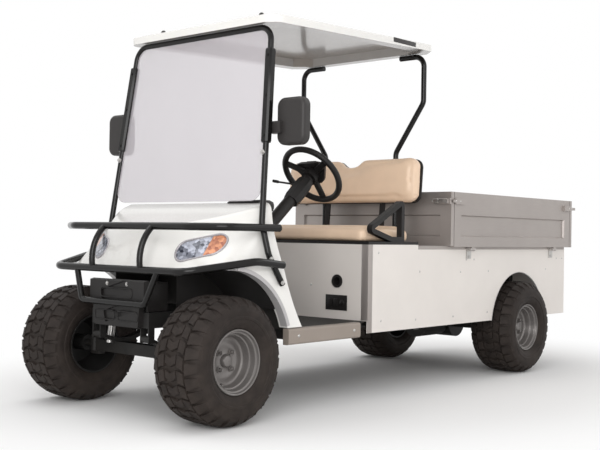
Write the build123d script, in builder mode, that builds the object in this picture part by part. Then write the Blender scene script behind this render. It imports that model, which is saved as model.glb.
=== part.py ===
from build123d import *
import os
from math import cos, hypot, radians, sin, sqrt, tan

os.makedirs("parts", exist_ok=True)

# Driving dimensions in millimetres. +X is forward, +Y is left, +Z is up and the ground is Z = 0.

# Wheels and stance
WHEELBASE = 2540.0
TRACK = 970.0
REAR_OVERHANG = 700.0
TYRE_OD = 559.0
TYRE_WIDTH = 280.0
TREAD_WIDTH = 204.0
SIDEWALL_OD = 410.0
LUGS = 18
LUG_SHARE = 0.84
TREAD_DEPTH = 10.0
CENTRE_ROW_W = 62.0
ROW_GROOVE = 9.0
LUG_END_INSET = 6.0
SHOULDER_DROP = 30.0
RIM_OD = 284.0
RIM_WIDTH = 230.0
RIM_EDGE = 9.0
DISC_INSET = 76.0
DISC_OD = 208.0
DISC_T = 10.0
HUB_OD = 76.0
HUB_NOSE = 55.0
CAP_OD = 46.0
SPINDLE_D = 30.0
SPINDLE_END = 20.0
HUB_CLEAR = 36.0
RUN_GAP = 0.05
SEAT_GAP = 0.4
MOVE_GAP = 5.0

# Axles and steering
BEAM_SIZE = 54.0
YOKE_T = 14.0
YOKE_WIDTH = 40.0
KNUCKLE_H = 62.0
KNUCKLE_D = 44.0
KINGPIN_D = 18.0
ARM_LENGTH = 110.0
ARM_T = 12.0
ARM_WIDTH = 28.0
TIE_ROD_D = 18.0
TIE_PIN_D = 12.0
AXLE_TUBE_D = 70.0
DIFF_WIDTH = 190.0
DIFF_D = 190.0
MOTOR_D = 168.0
MOTOR_LENGTH = 250.0

# Frame and springs
RAIL_Y = 170.0
RAIL_W = 60.0
RAIL_H = 70.0
AXLE_TO_RAIL = 122.0
AXLE_TO_FLOOR = 115.5
FLOOR_T = 8.0
KICK_RUN = 60.0
RAIL_NOSE = 150.0
FRONT_SPRING_HALF = 132.0
REAR_SPRING_HALF = 210.0
SPRING_RISE = 45.0
SPRING_T = 20.0
SPRING_W = 46.0
EYE_D = 34.0
HANGER_T = 6.0
MEMBER_W = 50.0
MID_MEMBER_SETBACK = 544.0

# Cab
RISER_SETBACK = 990.0
RISER_HEIGHT = 387.0
BODY_HALF_W = 541.0
PANEL_T = 6.0
FLOOR_HALF_W = 520.0
TOE_SETBACK = 400.0
TOE_TOP_SETBACK = 300.0
TOE_RISE = 345.0
SILL_FRONT_SETBACK = 378.0
SILL_REAR_GAP = 75.0
SILL_W = 35.0
SILL_H = 75.0
SOCKET_Y = 342.0
SOCKET_RISE = 195.0
SOCKET_FLANGE_D = 68.0
SOCKET_BODY_D = 56.0
SOCKET_BORE_D = 44.0
SOCKET_DEPTH = 45.0

# Cowl
COWL_WALL = 4.0
COWL_HALF_W = 552.0
COWL_TOP_HALF_W = 502.0
COWL_NOSE = 105.0
COWL_TOP_NOSE = -32.0
COWL_NOSE_R = 1750.0
COWL_TOP_NOSE_R = 615.0
COWL_CORNER_R = 120.0
COWL_SHOULDER_RISE = 265.0
HOOD_NOSE_RISE = 455.0
HOOD_REAR_RISE = 575.0
HOOD_REAR_SETBACK = 300.0
HOOD_EDGE_R = 34.0
HOOD_NOSE_AHEAD = 34.0
COWL_REAR_LOW_SETBACK = 472.0
COWL_REAR_MID_SETBACK = 337.0
COWL_REAR_MID_RISE = 293.0
ARCH_GAP = 111.5
LIP_DEPTH = 50.0
LINER_WALL = 3.0
LINER_LAP = 10.0
LINER_RAIL_GAP = 15.0
LINER_AHEAD = 5.0
LINER_BACK = 330.0
LINER_LIFT = 205.0
DASH_DEPTH = 110.0
BIN_WIDTH = 312.0
LAMP_Y = 352.0
LAMP_RISE = 366.0
LAMP_LENGTH = 205.0
LAMP_HEIGHT = 84.0
LAMP_TILT = 14.0
LAMP_DEPTH = 30.0

# Bumper cover and tube guard
COVER_HALF_W = 196.0
COVER_RISE = 5.0
COVER_HEIGHT = 215.0
COVER_T = 24.0
COVER_TAPER = 12.0
COVER_FOOT_HALF_W = 157.0
COVER_WAIST_HALF_W = 168.0
COVER_WAIST_RISE = 107.0
COVER_SHOULDER_RISE = 133.0
GUARD_D = 34.0
HOOP_D = 28.0
GUARD_TOP_RISE = 459.0
GUARD_LOW_RISE = 264.0
GUARD_TOP_X = 111.0
GUARD_LOW_X = 178.0
GUARD_BEND_R = 85.0
GUARD_LOOP_DROP = 150.0
HOOP_Y = 169.0
GUARD_END_RUN = 72.0
GUARD_TOP_SHOULDER_X = 25.0
GUARD_TOP_FLAT_Y = 405.0
GUARD_LOW_SHOULDER_SETBACK = 112.0
GUARD_LOW_FLAT_Y = 450.0
GUARD_LOW_LIFT = 30.0
LOOP_TOP_Y = 286.0
LOOP_LOW_Y = 222.0

# Canopy
POST_D = 28.0
POST_FOOT_SETBACK = 316.0
POST_FOOT_RISE = 205.0
POST_KNEE_SETBACK = 222.0
POST_KNEE_RISE = 337.0
POST_ELBOW_SETBACK = 212.0
POST_ELBOW_RISE = 480.0
POST_TOP_SETBACK = 322.0
POST_TOP_Y = 470.0
POST_BEND_R = 75.0
SCREEN_T = 5.0
SCREEN_CORNER_R = 60.0
ROOF_FRONT_SETBACK = 283.0
ROOF_LENGTH = 1376.0
ROOF_HALF_W = 512.0
ROOF_RISE = 1400.0
ROOF_SLOPE = 2.4
ROOF_RIM = 34.0
ROOF_CROWN = 20.0
ROOF_BEVEL = 60.0
ROOF_SKIN = 10.0
ROOF_RIM_W = 75.0
ROOF_CORNER_R = 70.0
ROOF_REAR_CUT = 85.0
STRUT_D = 30.0
STRUT_SETBACK = 618.0
STRUT_FOOT_Y = 258.0
STRUT_TOP_Y = 442.0
STRUT_KNEE_RISE = 905.0
STRUT_SHOULDER_RISE = 1180.0
STRUT_REACH = 160.0
STRUT_ROOF_INSET = 50.0
STRUT_BEND_R = 60.0
MIRROR_W = 165.0
MIRROR_H = 215.0
MIRROR_D = 46.0
MIRROR_Y = 606.0
MIRROR_RISE = 942.0
MIRROR_SETBACK = 325.0
MIRROR_EDGE_R = 18.0

# Seat
DECK_T = 15.0
SEAT_DEPTH = 441.0
CUSHION_H = 84.0
CUSHION_HALF_W = 500.0
CUSHION_EDGE_R = 26.0
BACK_SETBACK = 484.0
BACK_HALF_W = 477.0
BACK_LOW_RISE = 227.0
BACK_HEIGHT = 266.0
BACK_NOTCH = 44.0
BACK_NOTCH_HALF = 95.0
BACK_T = 78.0
BACK_CORNER_R = 60.0
BACK_EDGE_R = 20.0
BACK_LEAN = 5.0
SHELL_T = 10.0
SEAT_POST_Y = 200.0
SEAT_POST_W = 34.0
RESTRAINT_T = 32.0
RESTRAINT_BAR = 26.0
RESTRAINT_NOSE_AHEAD = 14.0
RESTRAINT_NOSE_RISE = 58.0
RESTRAINT_REAR_SETBACK = 318.0
RESTRAINT_FOOT_SETBACK = 205.0
RESTRAINT_RISE = 232.0

# Steering wheel and pedals
WHEEL_OD = 345.0
WHEEL_GRIP = 27.0
WHEEL_SETBACK = 846.0
WHEEL_RISE = 738.0
WHEEL_Y = 280.0
COLUMN_ANGLE = 40.0
COLUMN_D = 62.0
COLUMN_SHAFT_D = 20.0
WHEEL_HUB_D = 84.0
WHEEL_HUB_T = 34.0
SHAFT_LENGTH = 40.0
WHEEL_SPOKES = 3
PEDAL_UP = 110.0
PEDAL_REACH = 70.0
PEDAL_STEM = 18.0

# Bed
BED_SETBACK = 710.0
BED_RISE = 382.0
BED_FLOOR_T = 20.0
PANEL_DROP = 60.0
PANEL_OVERHANG = 615.0
REAR_ARCH_GAP = 50.5
REAR_ARCH_LIFT = 7.5
GATE_T = 30.0
GATE_HEIGHT = 308.0
GATE_STANDOFF = 4.0
GATE_FLOOR_LAP = 5.0
GATE_BAND_DEPTH = 12.0
GATE_BAND_LOW = 58.0
GATE_BAND_HIGH = 180.0
GATE_BAND_INSET = 72.0
HINGE_OUT = 26.0
HINGE_DROP = 15.0
HINGE_PIN_D = 10.0
HINGE_EYE_D = 18.0
HINGE_LUG_W = 30.0
HINGE_EAR_T = 8.0
HINGE_LEAF_T = 6.0
HINGE_LEAF_H = 62.0
HINGE_INSET = 205.0
LATCH_DROP = 52.0
LATCH_H = 34.0
LATCH_LENGTH = 96.0
LATCH_T = 16.0
STRAP_T = 6.0
BAND_TAPER = 30.0
GROOVE_PITCH = 120.0
GROOVE_COUNT = 8
GROOVE_W = 40.0
GROOVE_DEPTH = 4.0
LINER_T = 2.0
TAIL_LAMP_Y = 400.0
TAIL_LAMP_DROP = 110.0
TAIL_LAMP_LENGTH = 150.0
TAIL_LAMP_HEIGHT = 64.0
TAIL_LAMP_T = 16.0

# Stations along the vehicle
TYRE_R = TYRE_OD / 2
OVERALL_LENGTH = TYRE_R + WHEELBASE + REAR_OVERHANG
TAIL_X = -OVERALL_LENGTH / 2
FRONT_X = OVERALL_LENGTH / 2 - TYRE_R
REAR_X = FRONT_X - WHEELBASE
RISER_X = FRONT_X - RISER_SETBACK
DECK_REAR_X = RISER_X - SEAT_DEPTH
STRUT_X = RISER_X - STRUT_SETBACK
BED_X = RISER_X - BED_SETBACK
REAR_FACE_X = REAR_X - PANEL_OVERHANG

# Heights
WHEEL_Z = TYRE_R
FLOOR_Z = WHEEL_Z + AXLE_TO_FLOOR
RAIL_LOW_Z = FLOOR_Z - FLOOR_T - RAIL_H
RAIL_HIGH_Z = WHEEL_Z + AXLE_TO_RAIL
DECK_Z = FLOOR_Z + RISER_HEIGHT
SEAT_Z = DECK_Z + DECK_T
BED_Z = FLOOR_Z + BED_RISE
PANEL_TOP_Z = BED_Z - BED_FLOOR_T
PANEL_LOW_Z = FLOOR_Z - PANEL_DROP
TAIL_LAMP_Z = PANEL_TOP_Z - TAIL_LAMP_DROP


def box_between(low, high):
    """Add a block that fills the space between two corners."""
    size = [b - a for a, b in zip(low, high)]
    with Locations(tuple((a + b) / 2 for a, b in zip(low, high))):
        Box(*size)


def tube(points, diameter, bend):
    """Sweep a round bar along straight runs joined by bends."""
    with BuildLine() as run:
        FilletPolyline(*points, radius=bend)
    with BuildSketch(Plane(origin=run.line @ 0, z_dir=run.line % 0)) as section:
        Circle(diameter / 2)
    sweep(section.sketch, path=run.line)


def side_plane(y):
    """Plane that faces the vehicle's right, at the given Y, drawn in X and Z."""
    return Plane(origin=(0, y, 0), x_dir=(1, 0, 0), z_dir=(0, -1, 0))


# Tyre about its own middle: facetted carcass, a centre row and two shoulder rows of lugs
RIM_R = RIM_OD / 2
RIM_HALF = RIM_WIDTH / 2
BEAD_R = RIM_R + SEAT_GAP
GROOVE_R = TYRE_R - TREAD_DEPTH
LUG_PITCH = 360 / LUGS
LUG_ANGLE = LUG_PITCH * LUG_SHARE
ROW_START = CENTRE_ROW_W / 2 + ROW_GROOVE
TREAD_EDGE = TREAD_WIDTH / 2
LUG_END = TYRE_WIDTH / 2 - LUG_END_INSET
SPIN_PLANE = Plane(origin=(0, 0, 0), x_dir=(0, 0, -1), z_dir=(0, 1, 0))


def carcass_ring(across, radius):
    """Draw the carcass at a distance across the tyre, with one flat for each lug."""
    with BuildSketch(SPIN_PLANE.offset(across)) as outline:
        RegularPolygon(radius, LUGS, major_radius=False, rotation=LUG_ANGLE / 2)
    return outline.sketch


def lug_ring(across, top, turn):
    """Draw a row of lugs with radial sides, rooted inside the carcass."""
    root = top - 2 * TREAD_DEPTH
    corners = []
    for i in range(LUGS):
        start = turn + i * LUG_PITCH
        end = start + LUG_ANGLE
        for radius, angle in ((root, start), (top, start), (top, end), (root, end)):
            corners.append(Vector(radius, 0).rotate(Axis.Z, angle))
    with BuildSketch(SPIN_PLANE.offset(across)) as outline:
        with BuildLine():
            Polyline(*corners, close=True)
        make_face()
    return outline.sketch


with BuildPart() as tyre_form:
    extrude(carcass_ring(0, GROOVE_R), amount=TREAD_EDGE, both=True)
    extrude(lug_ring(0, TYRE_R, LUG_PITCH / 2), amount=CENTRE_ROW_W / 2, both=True)
    for out in (1, -1):
        edge = carcass_ring(out * TREAD_EDGE, GROOVE_R)
        shoulder = carcass_ring(out * LUG_END, GROOVE_R - SHOULDER_DROP)
        wall = carcass_ring(out * TYRE_WIDTH / 2, SIDEWALL_OD / 2)
        bead = carcass_ring(out * RIM_HALF, BEAD_R)
        lug_edge = lug_ring(out * TREAD_EDGE, TYRE_R, 0)
        lug_tip = lug_ring(out * LUG_END, TYRE_R - SHOULDER_DROP, 0)
        loft([edge, shoulder], ruled=True)
        loft([shoulder, wall], ruled=True)
        extrude(lug_ring(out * ROW_START, TYRE_R, 0), amount=out * (TREAD_EDGE - ROW_START))
        loft([lug_edge, lug_tip], ruled=True)
        loft([wall, bead], ruled=True, mode=Mode.SUBTRACT)
    extrude(carcass_ring(0, BEAD_R), amount=RIM_HALF, both=True, mode=Mode.SUBTRACT)

# Wheels: name, axle X, side (1 is left, -1 is right)
WHEELS = (
    ("front_left", FRONT_X, 1),
    ("front_right", FRONT_X, -1),
    ("rear_left", REAR_X, 1),
    ("rear_right", REAR_X, -1),
)
DISC_U = DISC_INSET - RIM_HALF
KINGPIN_Y = TRACK / 2 - RIM_HALF
HUB_BACK = KNUCKLE_D / 2 + HUB_CLEAR - RIM_HALF
BORE_R = SPINDLE_D / 2 + RUN_GAP

for name, axle_x, side in WHEELS:
    centre = (axle_x, side * TRACK / 2, WHEEL_Z)
    section = Plane(origin=centre, x_dir=(0, side, 0), z_dir=(side, 0, 0))
    spin = Axis(centre, (0, 1, 0))

    with BuildPart() as tyre:
        with Locations(Location(centre, (0, 0, 90 - side * 90))):
            add(tyre_form.part)
    tyre.part.label = f"tyre_{name}"
    export_step(tyre.part, f"parts/tyre_{name}.step")

    with BuildPart() as rim:
        with BuildSketch(section):
            with BuildLine():
                Polyline(
                    (RIM_HALF, RIM_R),
                    (RIM_HALF, RIM_R - RIM_EDGE),
                    (DISC_U, DISC_OD / 2),
                    (DISC_U, HUB_OD / 2),
                    (HUB_NOSE, CAP_OD / 2),
                    (HUB_NOSE, 0),
                    (SPINDLE_END + RUN_GAP, 0),
                    (SPINDLE_END + RUN_GAP, BORE_R),
                    (HUB_BACK, BORE_R),
                    (HUB_BACK, HUB_OD / 2),
                    (DISC_U - DISC_T, DISC_OD / 2),
                    (-RIM_HALF, RIM_R - RIM_EDGE),
                    (-RIM_HALF, RIM_R),
                    close=True,
                )
            make_face()
        revolve(axis=spin)
    rim.part.label = f"rim_{name}"
    export_step(rim.part, f"parts/rim_{name}.step")

# Front axle: square beam with a fork and pin at each end
FORK_LOW = WHEEL_Z - KNUCKLE_H / 2 - SEAT_GAP
FORK_HIGH = WHEEL_Z + KNUCKLE_H / 2 + SEAT_GAP
FORK_BACK = KINGPIN_Y - KNUCKLE_D / 2 - 3 * MOVE_GAP

with BuildPart() as front_axle:
    box_between(
        (FRONT_X - BEAM_SIZE / 2, -FORK_BACK, WHEEL_Z - BEAM_SIZE / 2),
        (FRONT_X + BEAM_SIZE / 2, FORK_BACK, WHEEL_Z + BEAM_SIZE / 2),
    )
    for side in (1, -1):
        with BuildSketch(Plane.XY.offset(FORK_LOW - YOKE_T)):
            with Locations((FRONT_X, side * (FORK_BACK + KINGPIN_Y) / 2)):
                Rectangle(YOKE_WIDTH, KINGPIN_Y - FORK_BACK)
            with Locations((FRONT_X, side * KINGPIN_Y)):
                Circle(YOKE_WIDTH / 2)
        extrude(amount=YOKE_T)
        with BuildSketch(Plane.XY.offset(FORK_HIGH)):
            with Locations((FRONT_X, side * (FORK_BACK + KINGPIN_Y) / 2)):
                Rectangle(YOKE_WIDTH, KINGPIN_Y - FORK_BACK)
            with Locations((FRONT_X, side * KINGPIN_Y)):
                Circle(YOKE_WIDTH / 2)
        extrude(amount=YOKE_T)
        with Locations((FRONT_X, side * (FORK_BACK - YOKE_T / 2), WHEEL_Z)):
            Box(YOKE_WIDTH, YOKE_T, FORK_HIGH - FORK_LOW + 2 * YOKE_T)
        with Locations((FRONT_X, side * KINGPIN_Y, WHEEL_Z)):
            Cylinder(KINGPIN_D / 2, FORK_HIGH - FORK_LOW)
front_axle.part.label = "front_axle"
export_step(front_axle.part, "parts/front_axle.step")

# Knuckles: a barrel on the kingpin, a spindle for the hub and an arm for the tie rod
ARM_LOW = WHEEL_Z - KNUCKLE_H / 2 + 2 * RUN_GAP
ARM_X = FRONT_X - ARM_LENGTH
SPINDLE_TIP_Y = TRACK / 2 + SPINDLE_END

with BuildPart() as knuckle_left:
    with Locations((FRONT_X, KINGPIN_Y, WHEEL_Z)):
        Cylinder(KNUCKLE_D / 2, KNUCKLE_H)
    with BuildSketch(Plane.XY.offset(ARM_LOW)):
        with Locations(((FRONT_X + ARM_X) / 2, KINGPIN_Y)):
            SlotCenterToCenter(ARM_LENGTH, ARM_WIDTH)
    extrude(amount=ARM_T)
    with Locations((FRONT_X, (KINGPIN_Y + SPINDLE_TIP_Y) / 2, WHEEL_Z)):
        Cylinder(SPINDLE_D / 2, SPINDLE_TIP_Y - KINGPIN_Y, rotation=(90, 0, 0))
    with BuildSketch(Plane.XY.offset(WHEEL_Z - KNUCKLE_H)):
        with Locations((FRONT_X, KINGPIN_Y)):
            Circle(KINGPIN_D / 2 + RUN_GAP)
        with Locations((ARM_X, KINGPIN_Y)):
            Circle(TIE_PIN_D / 2 + RUN_GAP)
    extrude(amount=2 * KNUCKLE_H, mode=Mode.SUBTRACT)
knuckle_left.part.label = "knuckle_left"
export_step(knuckle_left.part, "parts/knuckle_left.step")

with BuildPart() as knuckle_right:
    mirror(knuckle_left.part, about=Plane.XZ)
knuckle_right.part.label = "knuckle_right"
export_step(knuckle_right.part, "parts/knuckle_right.step")

# Tie rod above the arms, with a pin down through each arm
ROD_Z = ARM_LOW + ARM_T + TIE_ROD_D / 2 + 2.5 * SEAT_GAP

with BuildPart() as tie_rod:
    with Locations((ARM_X, 0, ROD_Z)):
        Cylinder(TIE_ROD_D / 2, 2 * KINGPIN_Y, rotation=(90, 0, 0))
    for side in (1, -1):
        with BuildSketch(Plane.XY.offset(ARM_LOW)):
            with Locations((ARM_X, side * KINGPIN_Y)):
                Circle(TIE_PIN_D / 2 if side > 0 else TIE_PIN_D / 2 - SEAT_GAP)
        extrude(amount=ROD_Z - ARM_LOW)
        with Locations((ARM_X, side * KINGPIN_Y, ROD_Z)):
            Cylinder(TIE_PIN_D, TIE_ROD_D + 2 * SEAT_GAP)
tie_rod.part.label = "tie_rod"
export_step(tie_rod.part, "parts/tie_rod.step")

# Rear axle: tube, spindles, gear case and motor
with BuildPart() as rear_axle:
    with Locations((REAR_X, 0, WHEEL_Z)):
        Cylinder(AXLE_TUBE_D / 2, 2 * (KINGPIN_Y - RIM_EDGE), rotation=(90, 0, 0))
        Cylinder(SPINDLE_D / 2, 2 * SPINDLE_TIP_Y, rotation=(90, 0, 0))
        Cylinder(DIFF_D / 2, DIFF_WIDTH, rotation=(90, 0, 0))
    with Locations((REAR_X + DIFF_D / 2 + MOTOR_LENGTH / 2 - RIM_EDGE, 0, WHEEL_Z)):
        Cylinder(MOTOR_D / 2, MOTOR_LENGTH, rotation=(0, 90, 0))
rear_axle.part.label = "rear_axle"
export_step(rear_axle.part, "parts/rear_axle.step")

# Leaf springs: axle X, top of the axle, half length
SPRINGS = (
    (FRONT_X, WHEEL_Z + BEAM_SIZE / 2, FRONT_SPRING_HALF),
    (REAR_X, WHEEL_Z + AXLE_TUBE_D / 2, REAR_SPRING_HALF),
)

with BuildPart() as leaf_springs:
    for axle_x, seat_z, half in SPRINGS:
        eye_z = seat_z + SPRING_RISE
        tip_z = eye_z + SPRING_T / 2
        with BuildSketch(side_plane(RAIL_Y - SPRING_W / 2)):
            with BuildLine():
                ThreePointArc((axle_x - half, eye_z), (axle_x, seat_z), (axle_x + half, eye_z))
                Line((axle_x + half, eye_z), (axle_x + half, tip_z))
                ThreePointArc((axle_x + half, tip_z), (axle_x, seat_z + SPRING_T), (axle_x - half, tip_z))
                Line((axle_x - half, tip_z), (axle_x - half, eye_z))
            make_face()
            with Locations((axle_x + half, eye_z), (axle_x - half, eye_z)):
                Circle(EYE_D / 2)
        extrude(amount=-SPRING_W)
    mirror(about=Plane.XZ)
leaf_springs.part.label = "leaf_springs"
export_step(leaf_springs.part, "parts/leaf_springs.step")

# Frame rails: high over both axles, low under the cab floor, with hangers for the spring eyes
RAIL_FRONT_X = FRONT_X + RAIL_NOSE
DROP_X = FRONT_X - TOE_SETBACK + 3 * FLOOR_T
LIFT_X = REAR_X + REAR_SPRING_HALF + MOTOR_LENGTH
RAIL_REAR_X = REAR_FACE_X + PANEL_T

with BuildPart() as frame_rails:
    with BuildSketch(side_plane(RAIL_Y - RAIL_W / 2)):
        with BuildLine():
            Polyline(
                (RAIL_FRONT_X, RAIL_HIGH_Z),
                (DROP_X + KICK_RUN, RAIL_HIGH_Z),
                (DROP_X, RAIL_LOW_Z),
                (LIFT_X, RAIL_LOW_Z),
                (LIFT_X - KICK_RUN, RAIL_HIGH_Z),
                (RAIL_REAR_X, RAIL_HIGH_Z),
                (RAIL_REAR_X, RAIL_HIGH_Z + RAIL_H),
                (LIFT_X - KICK_RUN, RAIL_HIGH_Z + RAIL_H),
                (LIFT_X, RAIL_LOW_Z + RAIL_H),
                (DROP_X, RAIL_LOW_Z + RAIL_H),
                (DROP_X + KICK_RUN, RAIL_HIGH_Z + RAIL_H),
                (RAIL_FRONT_X, RAIL_HIGH_Z + RAIL_H),
                close=True,
            )
        make_face()
    extrude(amount=-RAIL_W)
    for axle_x, seat_z, half in SPRINGS:
        for eye_x in (axle_x + half, axle_x - half):
            for face in (1, -1):
                wall_y = RAIL_Y + face * (SPRING_W / 2 + HANGER_T / 2 + SEAT_GAP)
                box_between(
                    (eye_x - EYE_D / 2, wall_y - HANGER_T / 2, seat_z + SPRING_RISE - EYE_D / 2),
                    (eye_x + EYE_D / 2, wall_y + HANGER_T / 2, RAIL_HIGH_Z),
                )
    mirror(about=Plane.XZ)
frame_rails.part.label = "frame_rails"
export_step(frame_rails.part, "parts/frame_rails.step")

# Cross members: stations under the cab and seat, and under the bed
MEMBERS_LOW = (FRONT_X - MID_MEMBER_SETBACK, RISER_X + MEMBER_W, DECK_REAR_X)
MEMBERS_BED = (
    BED_X - MEMBER_W,
    REAR_X + REAR_SPRING_HALF,
    REAR_X - REAR_SPRING_HALF,
    REAR_FACE_X + 2 * MEMBER_W,
)
RAIL_IN = RAIL_Y - RAIL_W / 2
RAIL_OUT = RAIL_Y + RAIL_W / 2
PANEL_IN = BODY_HALF_W - PANEL_T

with BuildPart() as cross_members:
    for member_x in MEMBERS_LOW:
        reach = FLOOR_HALF_W if member_x > RISER_X else PANEL_IN
        for y0, y1 in ((-RAIL_IN, RAIL_IN), (RAIL_OUT, reach), (-reach, -RAIL_OUT)):
            box_between(
                (member_x - MEMBER_W / 2, y0, RAIL_LOW_Z + FLOOR_T),
                (member_x + MEMBER_W / 2, y1, RAIL_LOW_Z + RAIL_H),
            )
    for member_x in MEMBERS_BED:
        box_between(
            (member_x - MEMBER_W / 2, -PANEL_IN, PANEL_TOP_Z - MEMBER_W),
            (member_x + MEMBER_W / 2, PANEL_IN, PANEL_TOP_Z),
        )
        for side in (1, -1):
            foot_z = RAIL_HIGH_Z + RAIL_H if member_x < LIFT_X - KICK_RUN else RAIL_LOW_Z + RAIL_H
            box_between(
                (member_x - MEMBER_W / 2, side * RAIL_Y - RAIL_W / 2, foot_z),
                (member_x + MEMBER_W / 2, side * RAIL_Y + RAIL_W / 2, PANEL_TOP_Z - MEMBER_W),
            )
cross_members.part.label = "cross_members"
export_step(cross_members.part, "parts/cross_members.step")

# Battery block on the rails, under the seat
with BuildPart() as battery_pack:
    box_between(
        (DECK_REAR_X + MEMBER_W, -(RAIL_OUT + MEMBER_W), RAIL_LOW_Z + RAIL_H),
        (RISER_X - MEMBER_W, RAIL_OUT + MEMBER_W, DECK_Z - 2 * MEMBER_W),
    )
    chamfer(battery_pack.edges().filter_by(Axis.Z), length=MEMBER_W / 4)
battery_pack.part.label = "battery_pack"
export_step(battery_pack.part, "parts/battery_pack.step")

# Cab floor with the sloping toe board
TOE_X = FRONT_X - TOE_SETBACK
TOE_TOP_X = FRONT_X - TOE_TOP_SETBACK
TOE_TOP_Z = FLOOR_Z + TOE_RISE

with BuildPart() as floor_pan:
    with BuildSketch(side_plane(0)):
        with BuildLine():
            Polyline(
                (RISER_X, FLOOR_Z),
                (TOE_X, FLOOR_Z),
                (TOE_TOP_X, TOE_TOP_Z),
                (TOE_TOP_X + FLOOR_T, TOE_TOP_Z),
                (TOE_X + FLOOR_T, FLOOR_Z - FLOOR_T),
                (RISER_X, FLOOR_Z - FLOOR_T),
                close=True,
            )
        make_face()
    extrude(amount=FLOOR_HALF_W, both=True)
floor_pan.part.label = "floor_pan"
export_step(floor_pan.part, "parts/floor_pan.step")

# Sills beside the floor
with BuildPart() as sills:
    with BuildSketch(Plane.YZ.offset(RISER_X + SILL_REAR_GAP)):
        with Locations((FLOOR_HALF_W, FLOOR_Z)):
            Rectangle(SILL_W, SILL_H, align=(Align.MIN, Align.MAX))
    extrude(amount=RISER_SETBACK - SILL_REAR_GAP - SILL_FRONT_SETBACK)
    fillet(sills.edges().filter_by(Axis.X).group_by(Axis.Y)[-1], radius=SILL_W / 3)
    mirror(about=Plane.XZ)
sills.part.label = "sills"
export_step(sills.part, "parts/sills.step")

# Cowl: plan sections from the bottom edge through the shoulder to the top
COWL_LOW_Z = FLOOR_Z + MOVE_GAP
SHOULDER_Z = FLOOR_Z + COWL_SHOULDER_RISE
HOOD_REAR_Z = FLOOR_Z + HOOD_REAR_RISE
HOOD_NOSE_Z = FLOOR_Z + HOOD_NOSE_RISE
ARCH_R = TYRE_R + ARCH_GAP
# height, nose ahead of the axle, nose radius, half width
COWL_PLANS = (
    (COWL_LOW_Z, COWL_NOSE, COWL_NOSE_R, COWL_HALF_W),
    (SHOULDER_Z, COWL_NOSE, COWL_NOSE_R, COWL_HALF_W),
    (HOOD_REAR_Z, COWL_TOP_NOSE, COWL_TOP_NOSE_R, COWL_TOP_HALF_W),
)


def cowl_block(inset, back):
    """Solid body of the cowl, drawn in by inset and run on behind by back."""
    rear_x = FRONT_X - COWL_REAR_LOW_SETBACK - back - inset
    hood_x = FRONT_X - HOOD_REAR_SETBACK - back
    front_x = FRONT_X + COWL_NOSE + COWL_WALL
    hood_slope = (HOOD_REAR_Z - HOOD_NOSE_Z) / (HOOD_REAR_SETBACK + HOOD_NOSE_AHEAD)
    hood_front_z = HOOD_NOSE_Z - hood_slope * (COWL_NOSE + COWL_WALL - HOOD_NOSE_AHEAD) - inset
    hood_rear_z = HOOD_REAR_Z + hood_slope * back - inset
    with BuildPart() as block:
        for height, nose, nose_r, half_w in COWL_PLANS:
            radius = nose_r - inset
            half = half_w - inset
            tip_x = FRONT_X + nose - inset
            corner_x = tip_x - radius + sqrt(radius**2 - half**2)
            with BuildSketch(Plane.XY.offset(height)) as plan:
                with BuildLine():
                    ThreePointArc((corner_x, -half), (tip_x, 0), (corner_x, half))
                    Polyline((corner_x, half), (rear_x, half), (rear_x, -half), (corner_x, -half))
                make_face()
                fillet(plan.vertices().sort_by(Axis.X)[-2:], radius=COWL_CORNER_R - inset)
        loft(ruled=True)
        with BuildSketch(side_plane(0)):
            with BuildLine():
                Polyline(
                    (rear_x, COWL_LOW_Z),
                    (front_x, COWL_LOW_Z),
                    (front_x, hood_front_z),
                    (hood_x, hood_rear_z),
                    (hood_x, HOOD_NOSE_Z),
                )
                ThreePointArc(
                    (hood_x, HOOD_NOSE_Z),
                    (FRONT_X - COWL_REAR_MID_SETBACK - back, FLOOR_Z + COWL_REAR_MID_RISE),
                    (rear_x, COWL_LOW_Z),
                )
            make_face()
        extrude(amount=COWL_HALF_W, both=True, mode=Mode.INTERSECT)
        hood = block.faces().filter_by(GeomType.PLANE).sort_by(Axis.Z)[-1]
        fillet(hood.edges().sort_by(Axis.X)[1:], radius=HOOD_EDGE_R - inset / 2)
    return block.part


cowl_outer = cowl_block(0, 0)
cowl_inner = cowl_block(COWL_WALL, COWL_HALF_W)


LAMP_Z = FLOOR_Z + LAMP_RISE
BACK_OF_LAMP_X = FRONT_X - COWL_REAR_MID_SETBACK / 2


def lamp_slots(clearance):
    """Draw both lamp outlines, with a clearance all round."""
    for side in (1, -1):
        with Locations((side * LAMP_Y, LAMP_Z)):
            SlotOverall(LAMP_LENGTH + 2 * clearance, LAMP_HEIGHT + 2 * clearance, rotation=side * LAMP_TILT)


with BuildPart() as arch_lips:
    with BuildSketch(side_plane(COWL_HALF_W)):
        with Locations((FRONT_X, WHEEL_Z)):
            Circle(ARCH_R + COWL_WALL)
            Circle(ARCH_R, mode=Mode.SUBTRACT)
    extrude(amount=LIP_DEPTH)
    mirror(about=Plane.XZ)
    add(cowl_outer, mode=Mode.INTERSECT)

with BuildPart() as cowl:
    add(cowl_outer)
    add(cowl_inner, mode=Mode.SUBTRACT)
    add(arch_lips.part)
    with Locations((FRONT_X, 0, WHEEL_Z)):
        Cylinder(ARCH_R, 3 * COWL_HALF_W, rotation=(90, 0, 0), mode=Mode.SUBTRACT)
    with BuildSketch(Plane.YZ.offset(BACK_OF_LAMP_X)):
        lamp_slots(SEAT_GAP)
    extrude(amount=COWL_HALF_W, mode=Mode.SUBTRACT)
cowl.part.label = "cowl"
export_step(cowl.part, "parts/cowl.step")

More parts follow.
